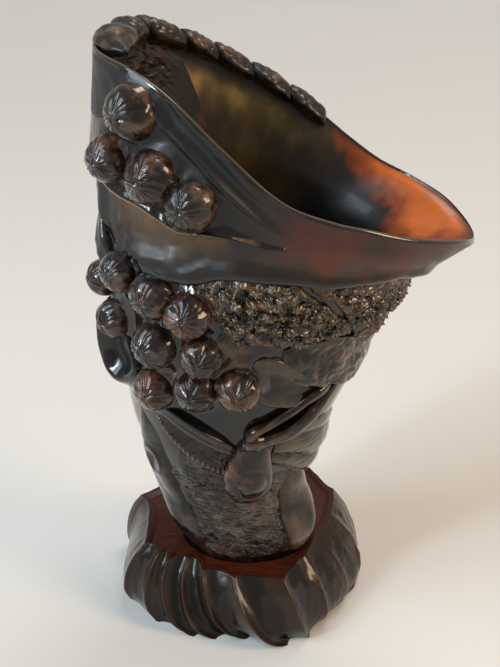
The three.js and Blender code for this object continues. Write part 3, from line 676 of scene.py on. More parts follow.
def bowl(u, v):
    turn = v * 360 - 180
    stage, share = staged(u, BOWL_STAGES)
    skirt = skirt_rise(turn)
    levels = [
        lerp(BOWL_FOOT, skirt, share),
        skirt + STEP_SHARE * (1 - np.cos(share * math.pi / 2)),
        lerp(skirt + STEP_SHARE, 1, share),
        1,
        lerp(1, BOWL_FLOOR, share),
    ]
    rise = np.select([stage == number for number in range(BOTTOM)], levels, BOWL_FLOOR)
    base = wall(rise, turn)
    points = on_wall(rise, turn, bowl_form(turn, stage, share, rise, base))
    points[..., 2] += np.where(stage == LIP, 0.45 * RIM_THICKNESS * arch(share), 0)
    points[..., 2] -= np.where(stage == STEP, SKIRT_DROP * arch(share) * skirt_lip(turn), 0)
    middle = wall(np.array(BOWL_FLOOR), np.array([0.0, 180.0])).mean(axis=0) - [0, 0, FLOOR_SAG]
    into = np.where(stage == BOTTOM, share, 0)
    drop = lerp(points, middle, into[:, None])
    drop[..., 2] = lerp(points[..., 2], middle[2], 1 - (1 - into) ** 2)
    return drop, bowl_masks(turn, stage, share, rise, base)


dress(lay("horn_bowl_dressed", 230, 360, bowl), BOWL, "cup", ["horn_bowl"])


# Pieces spread over the wall. Rows hold turn, low rise, high rise.
def sheet_piece(node, rows, size, height, form, material, inside=False, undercut=0.0, ragged=0.0):
    """A carved piece that follows the wall between a low and a high edge, rooted in it all round."""
    low, high = curve(rows, 1), curve(rows, 2)
    first, last = rows[0][0], rows[-1][0]

    def place(u, v):
        turn = lerp(first, last, u)
        stage, share = staged(v, (8, 84, 8))
        up = np.select([stage == 0, stage == 1], [0, share], 1)
        bite = ragged / MM_PER_RISE * lumps(np.stack([turn * 0.6, np.round(up) * 9, turn * 0], -1), 3.4, 2)
        rise = lerp(low(turn), high(turn), up) + bite
        base = wall(rise, turn)
        over, relief = form(u, up, rise, turn, base)
        stand = height * over
        root = RIM_THICKNESS / 2 if inside else ROOTING
        rooted = [lerp(-root, stand, share), stand]
        proud = np.select([stage == 0, stage == 1], rooted, lerp(stand, -root, share))
        rise = rise + np.where(stage == 0, undercut * arch(share) / MM_PER_RISE, 0)
        if inside:
            proud = -wall_thickness(rise) - proud
        return on_wall(np.minimum(rise, 1), turn, proud), {"relief": relief}

    dress(lay(node + "_dressed", *size, place), material, "cup", [node])


def dome(u, up, ends=0.4, edges=0.5):
    """Full in the middle of a piece, falling to nothing at its ends and edges."""
    return arch(u) ** ends * arch(up) ** edges


def berry_form(seed, spacing, full=0.0):
    """A mat of crowded florets, standing out by full more at its low edge than at its high one."""

    def form(u, up, rise, turn, base):
        a, b = turn * MM_PER_DEGREE, rise * MM_PER_RISE
        warp = 1.1 * lumps(base, 6, 2)
        small = florets(a + warp, b - warp, spacing, seed) ** 1.15
        crumple = lumps(base, 1.0, 2)
        body = dome(u, up, 0.3, 0.35)
        over = 0.3 + 0.58 * small + 0.19 * crumple + 0.12 * lumps(base, 7, 2)
        # gaps between florets get low relief, which paints shade in them
        return body * over * (1 + full * (0.5 - up)), 0.05 + 0.82 * small + 0.2 * crumple

    return form


FRONT_BERRIES = [
    [-113, 0.752, 0.758], [-110, 0.75, 0.775], [-104, 0.718, 0.79], [-99.5, 0.692, 0.81],
    [-94.5, 0.666, 0.822], [-90.5, 0.664, 0.832], [-86, 0.682, 0.836], [-80, 0.67, 0.83],
    [-71.5, 0.668, 0.797], [-60, 0.674, 0.752], [-52, 0.682, 0.716], [-48.5, 0.692, 0.702],
]
SIDE_BERRIES = [
    [-74, 0.818, 0.83], [-66, 0.79, 0.843], [-58, 0.755, 0.858], [-50, 0.7, 0.864],
    [-42, 0.658, 0.862], [-34, 0.652, 0.855], [-26, 0.672, 0.845], [-15, 0.688, 0.83],
    [0, 0.685, 0.8], [20, 0.69, 0.78], [42, 0.71, 0.755],
]
for node, rows, size, form, ragged in (
    ("front_berries", FRONT_BERRIES, (300, 190), berry_form(3, 3.1), 1.6),
    ("side_berries", SIDE_BERRIES, (340, 170), berry_form(5, 3.3, 0.5), 1.8),
):
    sheet_piece(node, rows, size, BERRY_HEIGHT, form, BERRY, ragged=ragged)


def cradle_form(u, up, rise, turn, base):
    """Thin at its free lower edge, sinking into the bowl at the top, with shallow lobes. Its lower edge is
    painted pale as a highlight.
    """
    ends = arch(u) ** 0.35
    vein = 0.12 * lumps(base * [1, 1, 0.4], 3)
    fall = lerp(1, 0.1, smooth(0, 1, up) ** 0.7) + 0.22 * hump(0.02, 0.09, up)
    over = ends * (fall + vein * (1 - up))
    # raised relief along the lower edge paints a highlight there
    return over, 0.42 + vein + 0.6 * hump(0, 0.035, up) * smooth(0, 0.25, np.minimum(u, 1 - u))


BEADS = 19


def serrated_form(u, up, rise, turn, base):
    """A leaf that sinks between a row of beads along its lower edge and a smooth double rim at the top."""
    ends = arch(u) ** 0.4
    bead = np.abs(np.sin(math.pi * BEADS * u**0.85)) ** 0.7 * hump(0.13, 0.09, up) * smooth(0.98, 0.9, u)
    bead = bead * (0.8 + 0.3 * lumps(base, 3, 1))
    edges = np.maximum(1 - smooth(0, 0.4, up), 0.9 * smooth(0.5, 0.8, up))
    rims = hump(0.76, 0.06, up) + 0.8 * hump(0.92, 0.05, up)
    trough = stretch(up, 0.22, 0.34, 0.56, 0.7)
    vein = np.abs(np.sin(math.pi * (up * 9 + 0.4 * np.sin(u * 3))))
    crumple = lumps(base, 1.6) * smooth(0.3, 0.6, u)
    over = lerp(0.35, 0.85, edges) + 0.34 * bead + 0.2 * rims + trough * (0.08 * vein + 0.2 * crumple)
    # beads and rims get high relief: painted highlights on them, paler like wear
    relief = 0.15 + 0.65 * bead + 0.45 * rims + trough * (0.15 * vein + 0.35 * crumple) + 0.15 * edges
    return ends * over, relief


def folded_form(u, up, rise, turn, base):
    """Thick rounded folds that run round the foot of the bowl."""
    wave = up * 2.1 + 0.3 * np.sin(u * 3 + 0.6) + 0.06 * lumps(base, 9, 2)
    fold = np.abs(np.sin(math.pi * wave)) ** 0.7
    streak = lumps(base * [0.5, 0.5, 2.2], 2.2)
    over = dome(u, up, 0.4, 0.5) * (0.42 + 0.58 * fold + 0.05 * streak)
    return over, 0.15 + 0.65 * fold + 0.12 * streak


def back_leaf_form(u, up, rise, turn, base):
    """A broad leaf with a midrib and slanting side veins."""
    rib = hump(0.5 + 0.08 * np.sin(u * 5), 0.035, up)
    slant = np.abs(up - 0.5)
    vein = np.abs(np.cos(math.pi * (u * 9 - slant * 3))) ** 14
    swell = dome(u, up, 0.45, 0.45)
    pucker = lumps(base, 5)
    over = swell * (0.62 + 0.3 * rib + 0.14 * vein + 0.16 * pucker)
    return over, 0.35 + 0.5 * rib + 0.35 * vein + 0.25 * pucker


def blade_form(u, up, rise, turn, base):
    """The rim leaf's blade inside the bowl: ribs that run down it to its tip, smooth near the tip."""
    run = up * 11 - (turn - 116) * 0.075 + 0.6 * lumps(base, 7, 2)
    rib = np.abs(np.sin(math.pi * run)) ** 1.2
    rough = smooth(124, 140, turn)
    fleck = lumps(base * [0.45, 0.45, 1.2], 2.6)
    body = arch(u) ** 0.5 * smooth(0, 0.05, up + 0.02)
    over = body * (0.75 + rough * (0.07 * rib + 0.26 * fleck))
    return over, 0.3 + rough * (0.15 * rib + 0.5 * fleck)


def hollow_leaf_form(u, up, rise, turn, base):
    """A small leaf that lies hollow, its rim turned up."""
    rim = 1 - smooth(0.05, 0.4, np.minimum(up, 1 - up)) * smooth(0.04, 0.25, np.minimum(u, 1 - u))
    fleck = lumps(base, 4)
    over = dome(u, up, 0.35, 0.2) * (0.12 + 0.88 * rim + 0.08 * fleck)
    return over, 0.25 + 0.5 * rim + 0.15 * fleck


def curl_form(u, up, rise, turn, base):
    """A leaf curled into a cup, its rim thick and smooth, its hollow darkened by painted shade."""
    away = np.hypot((u - 0.66) / 0.27, (up - 0.64) / 0.46)
    rim = hump(1, 0.3, away) * lerp(1, 0.5, smooth(0.5, 0.9, u))
    over = dome(u, up, 0.3, 0.3) * (0.2 + 0.8 * rim + 0.04 * lumps(base, 6, 2))
    return over, 0.1 + 0.5 * smooth(0.1, 0.7, rim) + 0.1 * lumps(base, 3, 2)


def flap_form(u, up, rise, turn, base):
    """A rough flap under the berries with a thin free lower edge."""
    rough = lumps(base, 3)
    over = arch(u) ** 0.35 * (lerp(1, 0.45, up) + 0.36 * rough)
    return over, 0.38 + 0.3 * hump(0, 0.08, up) + 0.5 * rough


SIDE_LEAF = [
    [-90, 0.6, 0.625], [-86, 0.575, 0.645], [-78, 0.55, 0.648], [-70, 0.542, 0.63],
    [-62, 0.536, 0.61], [-54, 0.538, 0.588], [-44, 0.552, 0.565],
]
FLAP_LEAF = [
    [-76, 0.636, 0.662], [-71, 0.61, 0.672], [-64, 0.592, 0.675], [-56, 0.585, 0.678],
    [-48, 0.578, 0.675], [-38, 0.566, 0.66], [-30, 0.56, 0.645], [-15, 0.58, 0.64], [0, 0.6, 0.63],
]
CRADLE = [
    [-182, 0.88, 0.94], [-172, 0.86, 0.945], [-164, 0.852, 0.942], [-151, 0.851, 0.94],
    [-144, 0.846, 0.94], [-132, 0.846, 0.94], [-123, 0.844, 0.93], [-117, 0.846, 0.918],
    [-109, 0.867, 0.908], [-99, 0.893, 0.912], [-93, 0.903, 0.916], [-88, 0.914, 0.92],
]
CURLED = [
    [-184, 0.58, 0.615], [-178, 0.545, 0.65], [-170, 0.524, 0.665], [-162, 0.513, 0.662],
    [-155, 0.512, 0.65], [-148, 0.522, 0.625], [-143, 0.54, 0.595], [-140, 0.552, 0.575],
]
SERRATED = [
    [-133, 0.482, 0.496], [-129, 0.468, 0.512], [-124, 0.446, 0.518], [-118, 0.424, 0.51],
    [-112, 0.402, 0.5], [-106, 0.38, 0.487], [-99.5, 0.36, 0.472], [-93, 0.345, 0.455],
    [-86, 0.338, 0.43],
]
FOLDED = [
    [-66, 0.36, 0.45], [-54.5, 0.331, 0.475], [-40, 0.29, 0.475], [-22, 0.26, 0.45],
    [0, 0.25, 0.42], [14, 0.315, 0.355],
]
BACK_LEAF = [
    [68, 0.8, 0.93], [84, 0.66, 0.955], [105, 0.56, 0.965], [128, 0.53, 0.965], [150, 0.6, 0.96],
    [166, 0.76, 0.955],
]
BLADE = [
    [113, 0.85, 0.86], [117, 0.84, 0.9], [122, 0.835, 0.94], [128, 0.84, 0.975], [136, 0.84, 0.992],
    [150, 0.84, 0.995], [180, 0.86, 0.995], [200, 0.88, 0.992], [212, 0.93, 0.975],
]
for node, rows, size, height, form, material, slot, undercut in (
    ("cradle_leaf", CRADLE, (300, 90), CRADLE_THICKNESS, cradle_form, CRADLE_HORN, "leaf_horn", 1.4),
    ("curled_leaf", CURLED, (180, 120), CURL_HEIGHT, curl_form, STEM, "dark_horn", 0),
    ("serrated_leaf", SERRATED, (280, 100), SERRATED_THICKNESS, serrated_form, ROCK, "leaf_horn", 0.8),
    ("folded_leaf", FOLDED, (200, 120), FOLD_HEIGHT, folded_form, FOLD_HORN, "leaf_horn", 0),
    ("back_leaf", BACK_LEAF, (260, 160), BACK_LEAF_THICKNESS, back_leaf_form, LEAF, "leaf_horn", 0.8),
    ("side_leaf", SIDE_LEAF, (140, 90), FLAP_THICKNESS, hollow_leaf_form, SIDE_HORN, "leaf_horn", 0.6),
    ("flap_leaf", FLAP_LEAF, (160, 80), FLAP_THICKNESS, flap_form, BERRY, "leaf_horn", 1.0),
):
    sheet_piece(node, rows, size, height, form, material, undercut=undercut)
sheet_piece("leaf_blade", BLADE, (300, 150), BLADE_THICKNESS, blade_form, LEAF, inside=True)


# Round pieces that run along the wall. Rows hold rise, turn, lift and half thickness, the last two as
# shares of the piece's diameter.
def branch_piece(name, node, spine, diameter, size, grain, material, flat=1.0):
    """A branch along a spine, round where flat is 1 and pressed to the wall below that."""
    rows = [[i, *row] for i, row in enumerate(spine)]
    last = len(rows) - 1
    rise, turn, lift, radius = (curve(rows, column) for column in range(1, 5))

    def centre(at):
        return on_wall(rise(at), turn(at), lift(at) * diameter)

    def place(u, v):
        at = u * last
        ahead = centre(np.minimum(at + 0.01, last)) - centre(np.maximum(at - 0.01, 0))
        forward = unit(ahead)
        side = unit(np.cross(forward, directions(rise(at), turn(at))[2]))
        square = np.cross(side, forward)
        angle = v * 2 * math.pi
        plain = centre(at) + side * (np.cos(angle) * radius(at) * diameter)[:, None]
        grown, relief = grain(at, angle, plain)
        closing = np.sqrt(np.clip(np.minimum(u, 1 - u) * 18, 0, 1))
        reach = (radius(at) * diameter + grown) * lerp(0.25, 1, closing)
        points = centre(at) + side * (np.cos(angle) * reach)[:, None]
        points = points + square * (np.sin(angle) * reach * flat)[:, None]
        return points, {"relief": relief}

    dress(lay(name, *size, place), material, "cup", [node])


def bark(depth, ridges, knots=()):
    """Long shallow ridges with lumps, and swollen knots at places along a branch."""

    def grain(at, angle, points):
        ridge = np.sin(angle * ridges + 2.5 * np.sin(at * 0.9))
        rough = lumps(points, 5)
        swell = sum(size * hump(where, width, at) for where, size, width in knots)
        return depth * (0.5 * ridge + rough) + swell, 0.5 + 0.22 * ridge + 0.3 * rough

    return grain


def knot_hole(at, angle, points):
    """The left stem, with a long hollow knot on the side that faces out."""
    grown, relief = bark(0.42, 4)(at, angle, points)
    away = np.hypot((at - 3.1) / 0.5, (angle - math.pi * 0.5) / 0.42)
    hollow, rim = hump(0, 0.75, away), hump(1.15, 0.28, away)
    # painted shade: the knot's hollow gets low relief and darkens
    return grown - 2.4 * hollow + rim, relief - 0.5 * hump(0, 0.8, away)


TWIG = [
    [0.57, -45, 0.05, 0.2], [0.556, -56.5, 0.2, 0.24], [0.54, -62, 0.24, 0.24],
    [0.522, -68.5, 0.26, 0.24], [0.502, -75.5, 0.3, 0.26], [0.49, -80.5, 0.34, 0.3],
    [0.464, -81, 0.36, 0.3], [0.418, -75, 0.28, 0.22], [0.364, -69.5, 0.22, 0.2],
    [0.302, -68.5, 0.2, 0.2], [0.256, -75.5, 0.1, 0.15],
]
THICK_STRAND = [
    [0.56, -37, 0.0, 0.2], [0.543, -42.8, 0.08, 0.28], [0.52, -48, 0.18, 0.4],
    [0.503, -54.5, 0.28, 0.5], [0.476, -63.4, 0.36, 0.56], [0.464, -73.5, 0.38, 0.5],
    [0.462, -79.2, 0.46, 0.54], [0.444, -79.8, 0.4, 0.36], [0.42, -79, 0.25, 0.22],
]
LEFT_STEM = [
    [0.52, -152, -0.16, 0.2], [0.452, -147, -0.14, 0.34], [0.4, -145, -0.12, 0.42],
    [0.338, -146, -0.1, 0.48], [0.266, -149, -0.1, 0.52], [0.202, -148, -0.12, 0.52],
    [0.15, -141, -0.12, 0.5], [0.1, -131, -0.14, 0.44], [0.05, -122, -0.18, 0.34],
]
REAR_COLUMN = [
    [0.872, -174, -0.2, 0.28], [0.82, -173, -0.15, 0.3], [0.78, -171, -0.1, 0.32],
    [0.745, -167, -0.05, 0.5], [0.71, -164, -0.1, 0.5], [0.68, -163, -0.2, 0.3],
]
BUD_SPINE = [
    [0.458, -77, 0.0, 0.18], [0.435, -77.5, 0.05, 0.32], [0.395, -78.3, 0.08, 0.42],
    [0.35, -79, 0.1, 0.49], [0.305, -79, 0.09, 0.48], [0.275, -78.5, 0.05, 0.36],
    [0.255, -78, 0.0, 0.14],
]
FOOT_LOBE = [
    [0.3, -45, -0.1, 0.16], [0.25, -38, -0.02, 0.38], [0.19, -33, 0.0, 0.5], [0.13, -36, 0.0, 0.52],
    [0.075, -42, -0.02, 0.46], [0.03, -48, -0.05, 0.3],
]
BACK_BRANCH = [
    [0.6, 112, 0.1, 0.35], [0.5, 104, 0.15, 0.42], [0.4, 112, 0.2, 0.46], [0.3, 128, 0.2, 0.5],
    [0.2, 140, 0.12, 0.5], [0.12, 130, 0.05, 0.4],
]


def bud_skin(at, angle, points):
    """The bud: lumpy and flecked on the leaf's side, smooth and swollen on the twig's side."""
    leaf_side = smooth(0.0, 0.5, np.cos(angle))
    crumple = lumps(points, 1.8)
    away = np.hypot((at - 3.1) / 0.75, (angle - math.pi * 0.54) / 0.55)
    knob = 1.3 * hump(0, 0.75, away) - 0.5 * hump(1.25, 0.25, away)
    lip = 0.5 * hump(4.9, 0.25, at)
    relief = 0.36 + 0.4 * leaf_side * crumple + 0.15 * knob + 0.4 * lip
    return 0.3 * leaf_side * crumple + knob + lip, relief


def hollow_lobe(at, angle, points):
    """The lobe at the foot: a rounded rim about a long hollow."""
    grown, relief = bark(0.2, 2)(at, angle, points)
    away = np.hypot((at - 2.4) / 1.7, (angle - math.pi * 0.52) / 0.75)
    hollow, rim = hump(0, 0.7, away), hump(1.1, 0.3, away)
    # painted shade darkens the hollow; its rim is paler
    return grown - 1.6 * hollow, relief - 0.25 * hollow + 0.3 * rim


thin_bark = bark(0.12, 3, knots=((5.4, 0.2, 0.5),))
thick_bark = bark(0.16, 3, knots=((6.0, 0.6, 0.35), (2.6, 0.25, 0.3)))
back_bark = bark(0.5, 4, knots=((1.1, 1.0, 0.25), (3.2, 0.9, 0.3)))
for name, node, spine, diameter, size, grain, material, flat in (
    ("bent_twig_dressed", "bent_twig", TWIG, TWIG_DIAMETER, (240, 48), thin_bark, TWIG_HORN, 1),
    ("bent_twig_strand", "bent_twig", THICK_STRAND, TWIG_DIAMETER, (200, 64), thick_bark, TWIG_HORN, 0.7),
    ("left_stem_dressed", "left_stem", LEFT_STEM, STEM_DIAMETER, (200, 96), knot_hole, STEM, 0.5),
    ("rear_column_dressed", "rear_column", REAR_COLUMN, COLUMN_DIAMETER, (140, 64), bark(0.4, 5), STEM, 1),
    ("bud_dressed", "bud", BUD_SPINE, BUD_DIAMETER, (150, 120), bud_skin, BUD, 0.7),
    ("foot_lobe_dressed", "foot_lobe", FOOT_LOBE, LOBE_DIAMETER, (120, 80), hollow_lobe, LOBE_HORN, 0.55),
    ("back_branch_dressed", "back_branch", BACK_BRANCH, BRANCH_DIAMETER, (200, 64), back_bark, STEM, 1),
):
    branch_piece(name, node, spine, diameter, size, grain, material, flat)

# The leaf folded over the high end of the rim, rolled into lobes between notches at these turns
NOTCHES = (206, 163, 147, 128, 115, 102, 89, 77)
LOBE_SIZES = (1.12, 0.98, 1.04, 0.98, 0.95, 0.92, 0.86)


def rim_leaf(u, v):
    at = u * len(LOBE_SIZES)
    lobe = np.clip(at.astype(int), 0, len(LOBE_SIZES) - 1)
    share = at - lobe
    turn = lerp(np.array(NOTCHES)[lobe], np.array(NOTCHES)[lobe + 1], share)
    around = directions(np.ones_like(turn), turn)[1]
    up = np.array([0.0, 0.0, 1.0])
    out = unit(np.cross(around, up))
    angle = v * 2 * math.pi
    round_off = arch(share) ** 0.4
    size = np.array(LOBE_SIZES)[lobe] * lerp(0.62, 1.03, round_off) * smooth(212, 178, turn) ** 0.6
    crease = np.abs(np.sin(angle * 2.5 + share * 2 + 2.1 * lobe + 0.5 * np.sin(at * 9))) ** 0.8
    wrinkle = np.sin(share * math.pi * 9 + angle * 1.5 + 0.8 * np.sin(at * 5))
    wrinkle = wrinkle * smooth(-0.2, 0.6, np.sin(angle))
    inset = ROLL_INSET + ROLL_TUCK * smooth(148, 172, turn)
    base = on_wall(np.ones_like(turn), turn, -inset) + up * (ROLL_LIFT + 0.8 * (0.5 - share))[:, None]
    width, height = ROLL_WIDTH / 2 * size, ROLL_HEIGHT / 2 * size
    plain = base + out * (np.cos(angle) * width)[:, None] + up * (np.sin(angle) * height)[:, None]
    rough = lumps(plain * [0.7, 0.7, 1], 4.2, 2)
    grown = (0.4 * (crease - 0.6) + 0.1 * wrinkle) * round_off + 0.55 * rough
    spoke = out * np.cos(angle)[:, None] + up * np.sin(angle)[:, None]
    points = plain + spoke * grown[:, None]
    relief = 0.05 + (0.3 * crease + 0.12 * wrinkle + 0.25) * round_off + 0.35 * rough
    return points, {"relief": relief}


dress(lay("rim_leaf_dressed", 640, 120, rim_leaf), LEAF, "cup", ["rim_leaf"])

GROOVES = 17


def fruit_piece(node, row, lift, seed):
    """A ball with grooves that run from a puckered navel and fade towards the wall."""
    rng = np.random.default_rng(seed)
    rise, turn, size = np.array(row)
    radius = FRUIT_DIAMETER * size / 2
    sphere = {"segments": GROOVES * 10, "ring_count": 48, "radius": 1}
    piece, ball = primitive(bpy.ops.mesh.primitive_uv_sphere_add, node + "_dressed", **sphere)
    angle = np.arctan2(ball[:, 1], ball[:, 0]) % (2 * math.pi)
    down = np.degrees(np.arccos(np.clip(ball[:, 2], -1, 1)))
    wobble = 0.4 * np.sin(angle * 3 + rng.uniform(0, 6))
    wobble = wobble + 0.25 * np.sin(down / 14 + angle * 2 + rng.uniform(0, 6))
    place = (angle / (2 * math.pi) * GROOVES + wobble) % GROOVES
    index = place.astype(int) % GROOVES
    reach = rng.uniform(40, 96, GROOVES)[index]
    start = rng.uniform(3, 20, GROOVES)[index]
    depth = rng.uniform(0.35, 1.1, GROOVES)[index]
    between = np.abs(place % 1 - 0.5) * 2
    cut = 1 - between**1.6
    cut = cut * depth * smooth(start - 4, start + 8, down) * smooth(reach, reach - 40, down)
    navel = hump(0, 4.5, down)
    rough = lumps(ball * radius + seed, 4, 2)
    wrinkle = lumps(ball * radius + 3 * seed, 1.8, 2) * smooth(15, 50, down)
    grown = 1 - 0.06 * cut - 0.07 * navel + 0.02 * hump(9, 4, down) + 0.04 * rough + 0.022 * wrinkle
    shaped = ball * grown[:, None] * radius * np.array([1, 1, FRUIT_FLATNESS])
    out = directions(rise, turn)[2]
    facing = unit(out + np.array([-0.16, -0.42, 0.12]) + rng.normal(0, 0.12, 3))
    swing = np.array(Quaternion(Vector((0, 0, 1)).rotation_difference(Vector(facing))).to_matrix())
    points = shaped @ swing.T + on_wall(rise, turn, lift)
    rooted = (points - wall(rise, turn)) @ out
    points = points + out * np.maximum(0, -wall_thickness(rise) / 2 - rooted)[:, None]
    # grooves and navel get low relief, which paints shade in them
    carve(piece, points, {"relief": 0.6 - 0.3 * cut - 0.3 * navel + 0.2 * rough + 0.25 * wrinkle})
    bpy.ops.object.shade_smooth()
    dress(piece, FRUIT, "cup", [node])


for number, row in enumerate(UPPER_FRUIT, 1):
    fruit_piece(f"upper_fruit_{number}", row, UPPER_LIFT, 20 + number)
for number, row in enumerate(LOWER_FRUIT, 1):
    fruit_piece(f"lower_fruit_{number}", row, LOWER_LIFT, 40 + number)


# The rock under the horn: smooth to the left, hatched with the graver in front
def rock(u, v):
    turn = np.interp(v, [0, 0.1, 0.76, 1], [-180, -132, -36, 180])
    stage, share = staged(u, (188, 8))
    top = 0.335 + 0.085 * stretch(turn, -132, -118, -98, -84)
    rise = np.where(stage == 0, top * share, top)
    base = wall(rise, turn)
    a, b = turn * ROCK_MM_PER_DEGREE, rise * ROCK_MM_PER_RISE
    hatched = stretch(turn, -128, -116, -52, -42) * smooth(0.02, 0.04, rise)
    hatched = hatched * lerp(1, 0.45, smooth(0.3, 0.36, rise))
    elsewhere = 0.35 * smooth(-30, 0, turn)
    marks = strokes(a, b, 1900, 2.4, 0.13, -0.3, 0.45, 9)
    burrs = strokes(a, b, 1100, 2.0, 0.12, -0.3, 0.45, 10)
    rough = lumps(base, 3.2)
    broad = 0.7 * np.sin(np.radians(turn * 18) + rise * 60) * np.sin(np.radians(turn * 6) - rise * 33)
    cuts = (hatched + elsewhere) * (marks - 0.8 * burrs)
    proud = 0.35 * broad + (0.2 + 0.25 * hatched) * rough - 0.48 * cuts + 0.3 * hatched
    proud = proud + 0.5 * smooth(0.29, 0.31, rise) - 1.5 * smooth(top - 0.03, top, rise)
    points = on_wall(rise, turn, proud)
    points = np.where((stage == 1)[:, None], lerp(points, base.mean(axis=0), 0.5 * share[:, None]), points)
    # graver cuts get low relief, which paints shade in them
    return points, {"relief": lerp(0.4, 0.62, hatched) + 0.2 * rough - 0.55 * cuts}


dress(lay("rock_foot_dressed", 200, 480, rock), ROCK, "cup", ["rock_foot"])

# The stand: ridges between flutes. Bottom turn and size, top turn and size as shares of the stand's half
# sizes, and how deep the flute after it is cut at the bottom and the top as shares of the flutes' depth.
RIDGES = [
    [-197.7, 1.043, -205.3, 0.976, 0.47, 2.13],
    [-157.9, 1.017, -157.9, 0.877, 0.5, 0.87],
    [-134.9, 0.983, -145.1, 0.827, 0.8, 1.0],
    [-113.6, 0.971, -136.9, 0.83, 0.8, 1.2],
    [-102.6, 0.948, -127.9, 0.707, 1.0, 1.0],
    [-86.4, 0.923, -112.7, 0.776, 0.93, 0.8],
    [-68.2, 1.069, -93.6, 0.8, 1.0, 0.73],
    [-56.9, 1.06, -66.4, 0.89, 0.73, 0.67],
    [-43.1, 0.96, -43.1, 0.719, 0.33, 0.17],
    [-28.5, 0.955, -17.7, 0.673, 0.27, 0.17],
    [-13.3, 1.008, 8.9, 0.783, 0.33, 0.27],
    [2.2, 1.025, 32.8, 0.961, 0.47, 0.47],
    [19.9, 1.042, 55.0, 1.079, 0.8, 0.93],
    [43.1, 1.052, 77.4, 1.001, 0.8, 1.0],
    [66.4, 1.031, 97.2, 0.959, 0.8, 1.0],
    [90.0, 1.024, 115.5, 0.957, 0.73, 1.0],
    [115.5, 1.023, 133.9, 0.975, 0.73, 0.87],
]
LAP = np.vstack([RIDGES, np.array(RIDGES[0]) + [360, 0, 360, 0, 0, 0]])
STAND_STAGES = (4, 60, 5, 26, 30, 5, 6)
UNDERSIDE, SIDE, EDGE, SLOPE, DISH, RECESS, RECESS_FLOOR = range(len(STAND_STAGES))
EDGE_WIDTH = 1.2
EDGE_SINK = 0.12


def stand_side(column, height):
    """A point of the stand's side by its place among the ridges and its share of the height: its turn,
    its size, how far it lies back, and how light the wood is there: painted shade deep in the flutes, dust
    on their slopes, painted highlight on the ridges."""
    ridge = np.clip(column.astype(int), 0, len(RIDGES) - 1)
    share = column - ridge
    before, after = LAP[ridge], LAP[ridge + 1]
    swing = np.clip(height, 0, 1) ** 0.55
    turn = lerp(lerp(before[:, 0], after[:, 0], share), lerp(before[:, 2], after[:, 2], share), swing)
    foot = lerp(before[:, 1], after[:, 1], share)
    top = lerp(before[:, 3], after[:, 3], share)
    early = share**0.7
    hollow = (4 * early * (1 - early)) ** 0.85
    deep = lerp(before[:, 4], before[:, 5], height**1.2)
    deep = deep + 0.53 * arch(height) * np.minimum(1, before[:, 4] * 1.6)
    belly = arch(height) - 0.8 * hump(0, 0.14, height) - 0.5 * hump(1, 0.12, height)
    back = FLUTE_DEPTH * hollow * deep - STAND_BELLY * belly
    shade = 0.6 + np.clip(deep / 0.55, 0, 1) * (0.4 - 0.8 * hollow**0.7)
    return turn, lerp(foot, top, height**1.6), back, shade


def stand(u, v):
    column = v * len(RIDGES)
    stage, share = staged(u, STAND_STAGES)
    height = np.select([stage == UNDERSIDE, stage == SIDE], [0, share], 1)
    turn, size, back, shade = stand_side(column, height)
    across, aside = np.cos(np.radians(turn)), np.sin(np.radians(turn))
    within = [stage <= SIDE, stage == EDGE, stage == SLOPE]
    underside = 6 * (1 - share) * (stage == UNDERSIDE)
    slope = lerp(EDGE_WIDTH, LIP_WIDTH, share)
    inset = back + np.select(within, [underside, EDGE_WIDTH * share, slope], LIP_WIDTH)
    fall = lerp(EDGE_SINK, DISH_DEPTH, smooth(0, 1, share))
    sink = np.select(within, [0, EDGE_SINK * share**2, fall], DISH_DEPTH)
    x = across * (STAND_LENGTH / 2 * size - inset)
    y = aside * (STAND_WIDTH / 2 * size - inset) + STAND_SETBACK
    points = np.stack([x, y, STAND_HEIGHT * height - sink], -1)
    seat = on_wall(0.008, turn, SEAT_CLEARANCE)
    seat[:, 2] = STAND_HEIGHT - DISH_DEPTH
    floor = seat - [0, 0, SEAT_DEPTH]
    share = share[:, None]
    for number, start, end in (
        (DISH, points, seat),
        (RECESS, seat, floor),
        (RECESS_FLOOR, floor, lerp(floor, floor.mean(axis=0), 0.9)),
    ):
        points = np.where((stage == number)[:, None], lerp(start, end, share), points)
    carved = stretch(turn, -60, -40, 10, 40)
    tool = lumps(points * [1, 1, 0.6], 7) + 0.5 * lumps(points * [1, 1, 0.5], 2.6, 2) * carved
    marks = 0.55 * tool * smooth(0, 0.06, height) * (stage <= EDGE)
    points = points + np.stack([across * marks, aside * marks, 0 * marks], -1)
    dish = np.select([stage <= SIDE, stage == EDGE], [0, share[:, 0]], 1)
    return points, {"relief": shade + 0.12 * tool, "dish": dish}


dress(lay("stand_dressed", 180, 560, stand), WOOD, "stand", ["stand"])


# Floor, light and camera
FLOOR_SIZE = 6
CUP_MIDDLE = Vector((0, 0, 0.1))


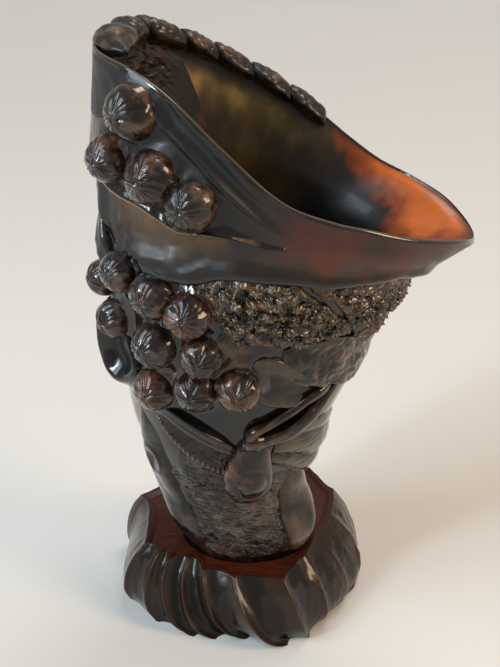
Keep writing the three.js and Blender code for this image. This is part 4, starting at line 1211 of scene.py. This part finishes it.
def floor_look(name, *tone):
    """Matt and pale. Its far parts glow for what is seen, and light nothing."""
    look = Look(name, Roughness=0.9, Emission_Strength=1)
    away = look.node("VectorMath", {"operation": "LENGTH"}, {0: look.place}, output="Value")
    glow = look.seen() * look.ease(away, 0.25, 1.3, 0, 0.4)
    look.vary(
        Base_Color=look.tint(look.cloud(30, 3, 0.5), tone, (*tone, 0.985)),
        Emission_Color=look.tint(glow, (0, 0, 0), tone),
    )
    return look.material


floor = primitive(bpy.ops.mesh.primitive_plane_add, "studio_floor", size=FLOOR_SIZE)[0]
edit(floor)
floor.data.materials.append(floor_look("pale_floor", 214, 210, 204))


def lamp(name, place, size, power, tone):
    """A soft lamp that faces the middle of the cup."""
    light = bpy.data.lights.new(name, "AREA")
    light.shape, light.size, light.size_y = "RECTANGLE", *size
    light.energy, light.color = power, tone
    lit = bpy.data.objects.new(name, light)
    bpy.context.scene.collection.objects.link(lit)
    lit.location = place
    towards = CUP_MIDDLE - Vector(place)
    lit.rotation_euler = towards.to_track_quat("-Z", "Y").to_euler()


lamp("left_light", (-0.75, -0.35, 0.75), (0.6, 0.8), 9, (0.76, 0.9, 1.0))
lamp("left_strip", (-0.7, -0.55, 0.5), (0.12, 0.2), 3, (0.8, 0.92, 1.0))
lamp("right_light", (0.8, -0.3, 0.55), (0.3, 0.4), 5.5, (1.0, 0.74, 0.5))
lamp("back_light", (0.3, 0.4, 1.15), (0.6, 0.4), 6.6, (1.0, 0.97, 0.93))

# The world lights softly, and is brighter where it is seen
world = bpy.data.worlds.new("studio")
world.use_nodes = True
sky = Nodes(world.node_tree)
background = sky.tree.nodes["Background"].inputs
sky.join(colour(226, 222, 218), background["Color"])
light = sky.node("MapRange", {}, {"Value": sky.seen(), "To Min": 0.26, "To Max": 0.5})
sky.join(light, background["Strength"])
bpy.context.scene.world = world
bpy.context.scene.view_settings.view_transform = "Standard"

PICTURE_HEIGHT = 667
FOCAL_PIXELS = 1100
SENSOR = 36
lens = bpy.data.cameras.new("camera")
lens.lens = SENSOR * FOCAL_PIXELS / PICTURE_HEIGHT
lens.sensor_width = SENSOR
lens.clip_start = 0.01
camera = bpy.data.objects.new("camera", lens)
bpy.context.scene.collection.objects.link(camera)
camera.location = (0.0033, -0.3112, 0.2757)
camera.rotation_euler = (math.radians(61), 0, 0)
bpy.context.scene.camera = camera
